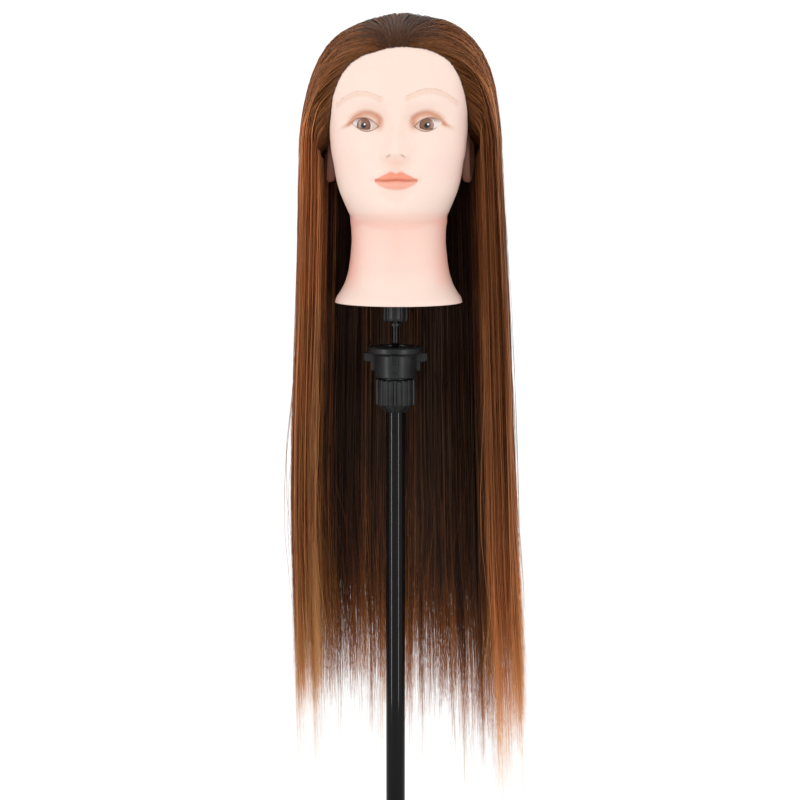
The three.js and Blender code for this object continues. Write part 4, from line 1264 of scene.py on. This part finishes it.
def make_legs():
    foot_z = math.sqrt(FOOT_R**2 - FOOT_FLAT_R**2)
    length = math.hypot(FOOT_REACH - PIVOT[0], PIVOT[1] - foot_z)
    tip = math.atan2(FOOT_REACH - PIVOT[0], PIVOT[1] - foot_z) - math.pi
    sleeve = LEG_R + 3.2
    shoulder = math.sqrt(FOOT_R**2 - sleeve**2)
    top = length - FOOT_GRIP
    foot = [(LEG_R + 0.3, length - 0.7), (LEG_R + 0.3, top), (sleeve - 0.6, top)]
    for groove in range(GROOVES):
        at = top + 4 + GROOVE_STEP * groove
        foot += [(sleeve, at), (sleeve, at + 3.6), (sleeve - 0.7, at + 4.2), (sleeve - 0.7, at + 5.0)]
    for step in np.linspace(math.acos(-shoulder / FOOT_R), 0.12, 14):
        foot.append((FOOT_R * math.sin(step), length + FOOT_R * math.cos(step)))

    def placed(shape, degrees):
        points, faces = shape
        x, z = rotated(points[:, 0], points[:, 2], tip)
        z = np.maximum(PIVOT[1] + z, 0.0)
        return spun(np.stack([PIVOT[0] + x, points[:, 1], z], 1), degrees), faces

    for number, degrees in enumerate(LEG_ANGLES, 1):
        tube = tube_shape(LEG_R, LEG_WALL, 22.3, length - 1)
        stand_piece(f"leg_tube_{number}", placed(tube, degrees))
        stand_piece(f"foot_{number}", placed(turned(foot, closed=False, size=0.3), degrees))
        smoothed_piece(f"leg_knuckle_{number}")
        smoothed_piece(f"leg_pin_{number}")
    smoothed_piece("leg_hub")
    smoothed_piece("hub_screw")


def make_clamp():
    low, high = CLAMP_Z
    step = heights("lower_tube")[1] + 0.3
    sleeve = [(LOWER_R + 0.3, low), (15.5, low), (18.0, low + 2.5), (18.0, low + 9), (17.3, low + 9.6),
              (17.3, high - 24), (18.0, high - 23.4), (18.0, high - 2.5), (15.5, high),
              (UPPER_R + 0.5, high), (UPPER_R + 0.5, step), (LOWER_R + 0.3, step)]
    boss = turned([(3.3, -30), (7.2, -30), (8.0, -29), (8.0, -16), (3.3, -16)])
    stand_piece("clamp_collar", turned(sleeve), along_y(boss, KNOB_Z))

    def lobes(radius, angle, height):
        return np.where(radius > 9, radius * (1 + 0.147 * np.cos(KNOB_LOBES * angle)), radius)

    outline = [(3.3, 6.3), (3.3, 16), (9.0, 16), (13.4, 16), (15, 14.4), (15, 1.8), (13.2, 0.2), (10.5, 0),
               (8.6, 0), (8.0, 0.8), (1.0, 0.8)]
    outline = [(radius, height - 50.0) for radius, height in outline]
    knob = turned(outline, closed=False, segments=120, relief=lobes)
    stand_piece("clamp_knob", along_y(knob, KNOB_Z))


def make_holder():
    def slits(radius, angle, height):
        cut = 0.9 * ease(np.cos(COLLET_SLITS * angle), 0.80, 0.95)
        return np.where(radius > UPPER_R + 0.5, radius - cut * (height < 856.3), radius)

    collet = [(9.9, 850), (10.6, 850), (14.6, 855.2), (15, 856.6), (12.7, 856.6), (12.7, 866), (9.9, 866)]
    stand_piece("collet", turned(collet, segments=192, size=0.3, relief=slits))

    def flutes(radius, angle, height):
        dent = np.clip(np.cos(NUT_FLUTES * angle), 0, 1) ** 0.7
        return np.where(radius > 18, radius - 1.7 * dent * ease(radius, 18, 19.5), radius)

    low, high = heights("fluted_nut")
    nut = [(13.2, low), (18.7, low), (20, low + 1.3), (20, high - 1.6), (18.8, high), (13.2, high)]
    stand_piece("fluted_nut", turned(nut, segments=256, size=0.4, relief=flutes))

    low, high = heights("lug_ring")
    ring = [(17, low), (20.4, low), (21.4, low + 1), (21.4, high - 8.4), (27.0, high - 6.2),
            (27.5, high - 5.4), (27.5, high - 1.2), (26.3, high), (17, high)]
    shapes = [turned(ring, segments=128)]
    for quarter in range(4):
        lug = [brick((19, 29.4), (-4, 4), (901, 909.6)), brick((19, 24.5), (-3.2, 3.2), (892, 902))]
        lug += [brick((28.5, 31.3), (at - 0.65, at + 0.65), (901.6, 909.2), 0.2) for at in (-2.4, 0, 2.4)]
        shapes += [(spun(points, 90 * quarter), faces) for points, faces in lug]
    stand_piece("lug_ring", *shapes)
    smoothed_piece("swivel_cup")
    smoothed_piece("slot_cap")


def make_plug():
    low, high = heights("plug_rod")
    rod = [(2.9, low), (3.5, low + 0.6), (3.5, high - 0.6), (2.9, high)]
    stand_piece("plug_rod", turned(rod, closed=False, size=0.2))
    low, high = heights("rod_collar")
    stand_piece("rod_collar", turned([(3.8, low), (5, low), (5, high), (3.8, high)], size=0.6))

    def ribs(radius, angle, height):
        rise = 0.5 + 0.5 * np.tanh(5 * np.cos(PLUG_RIBS * angle + 0.3))
        return np.where(radius > 6, radius - 1.8 * (1 - rise) * ease(radius, 6, 9), radius)

    low, high = heights("neck_plug")
    plug = [(3.8, low + 36), (3.8, low), (10.6, low), (11.5, low + 0.8), (12, low + 3.5), (10.6, high - 6),
            (8.4, high - 0.6), (7.4, high)]
    stand_piece("neck_plug", turned(plug, closed=False, segments=192, size=0.4, relief=ribs))


def make_finishes():
    """The procedural finish of each material slot that the stand uses."""
    return {
        "gloss_black_tube": lacquered_tube(),
        "black_plastic": moulded_plastic("black_plastic", (0.007, 0.0075, 0.008), 0.36),
        "grey_plastic": moulded_plastic("grey_plastic", (0.10, 0.10, 0.105), 0.6),
        "black_rubber": rubber(),
        "bright_steel": machined_steel(),
        "core_foam": core_foam(),
    }


def dress_cad():
    """Carried-over CAD nodes keep their shape and get the procedural finishes."""
    for node, made in frame["nodes"].items():
        if SLOTS[node] in FINISHES:
            finish(made, node)


make_camera()
make_stage()
FINISHES = make_finishes()
dress_cad()
make_tubes()
make_legs()
make_clamp()
make_holder()
make_plug()

FINISHES["skin_vinyl"] = skin_material()
FINISHES["eye_plastic"] = eye_material()
stand_in(make_head(), "head_skin")
for eye_name, eye_side in (("eye_left", 1.0), ("eye_right", -1.0)):
    stand_in(make_eye(f"{eye_name}_painted", eye_side), eye_name)

HAIR_NODES = {
    "hair_left_side_lengths": ("hair_left", "hair_cap"),
    "hair_back_left_lengths": ("hair_back",),
    "hair_right_lengths": ("hair_right",),
}
for piece in make_hair():
    if piece.name in HAIR_NODES:
        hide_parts(*HAIR_NODES[piece.name])
    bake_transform(piece)
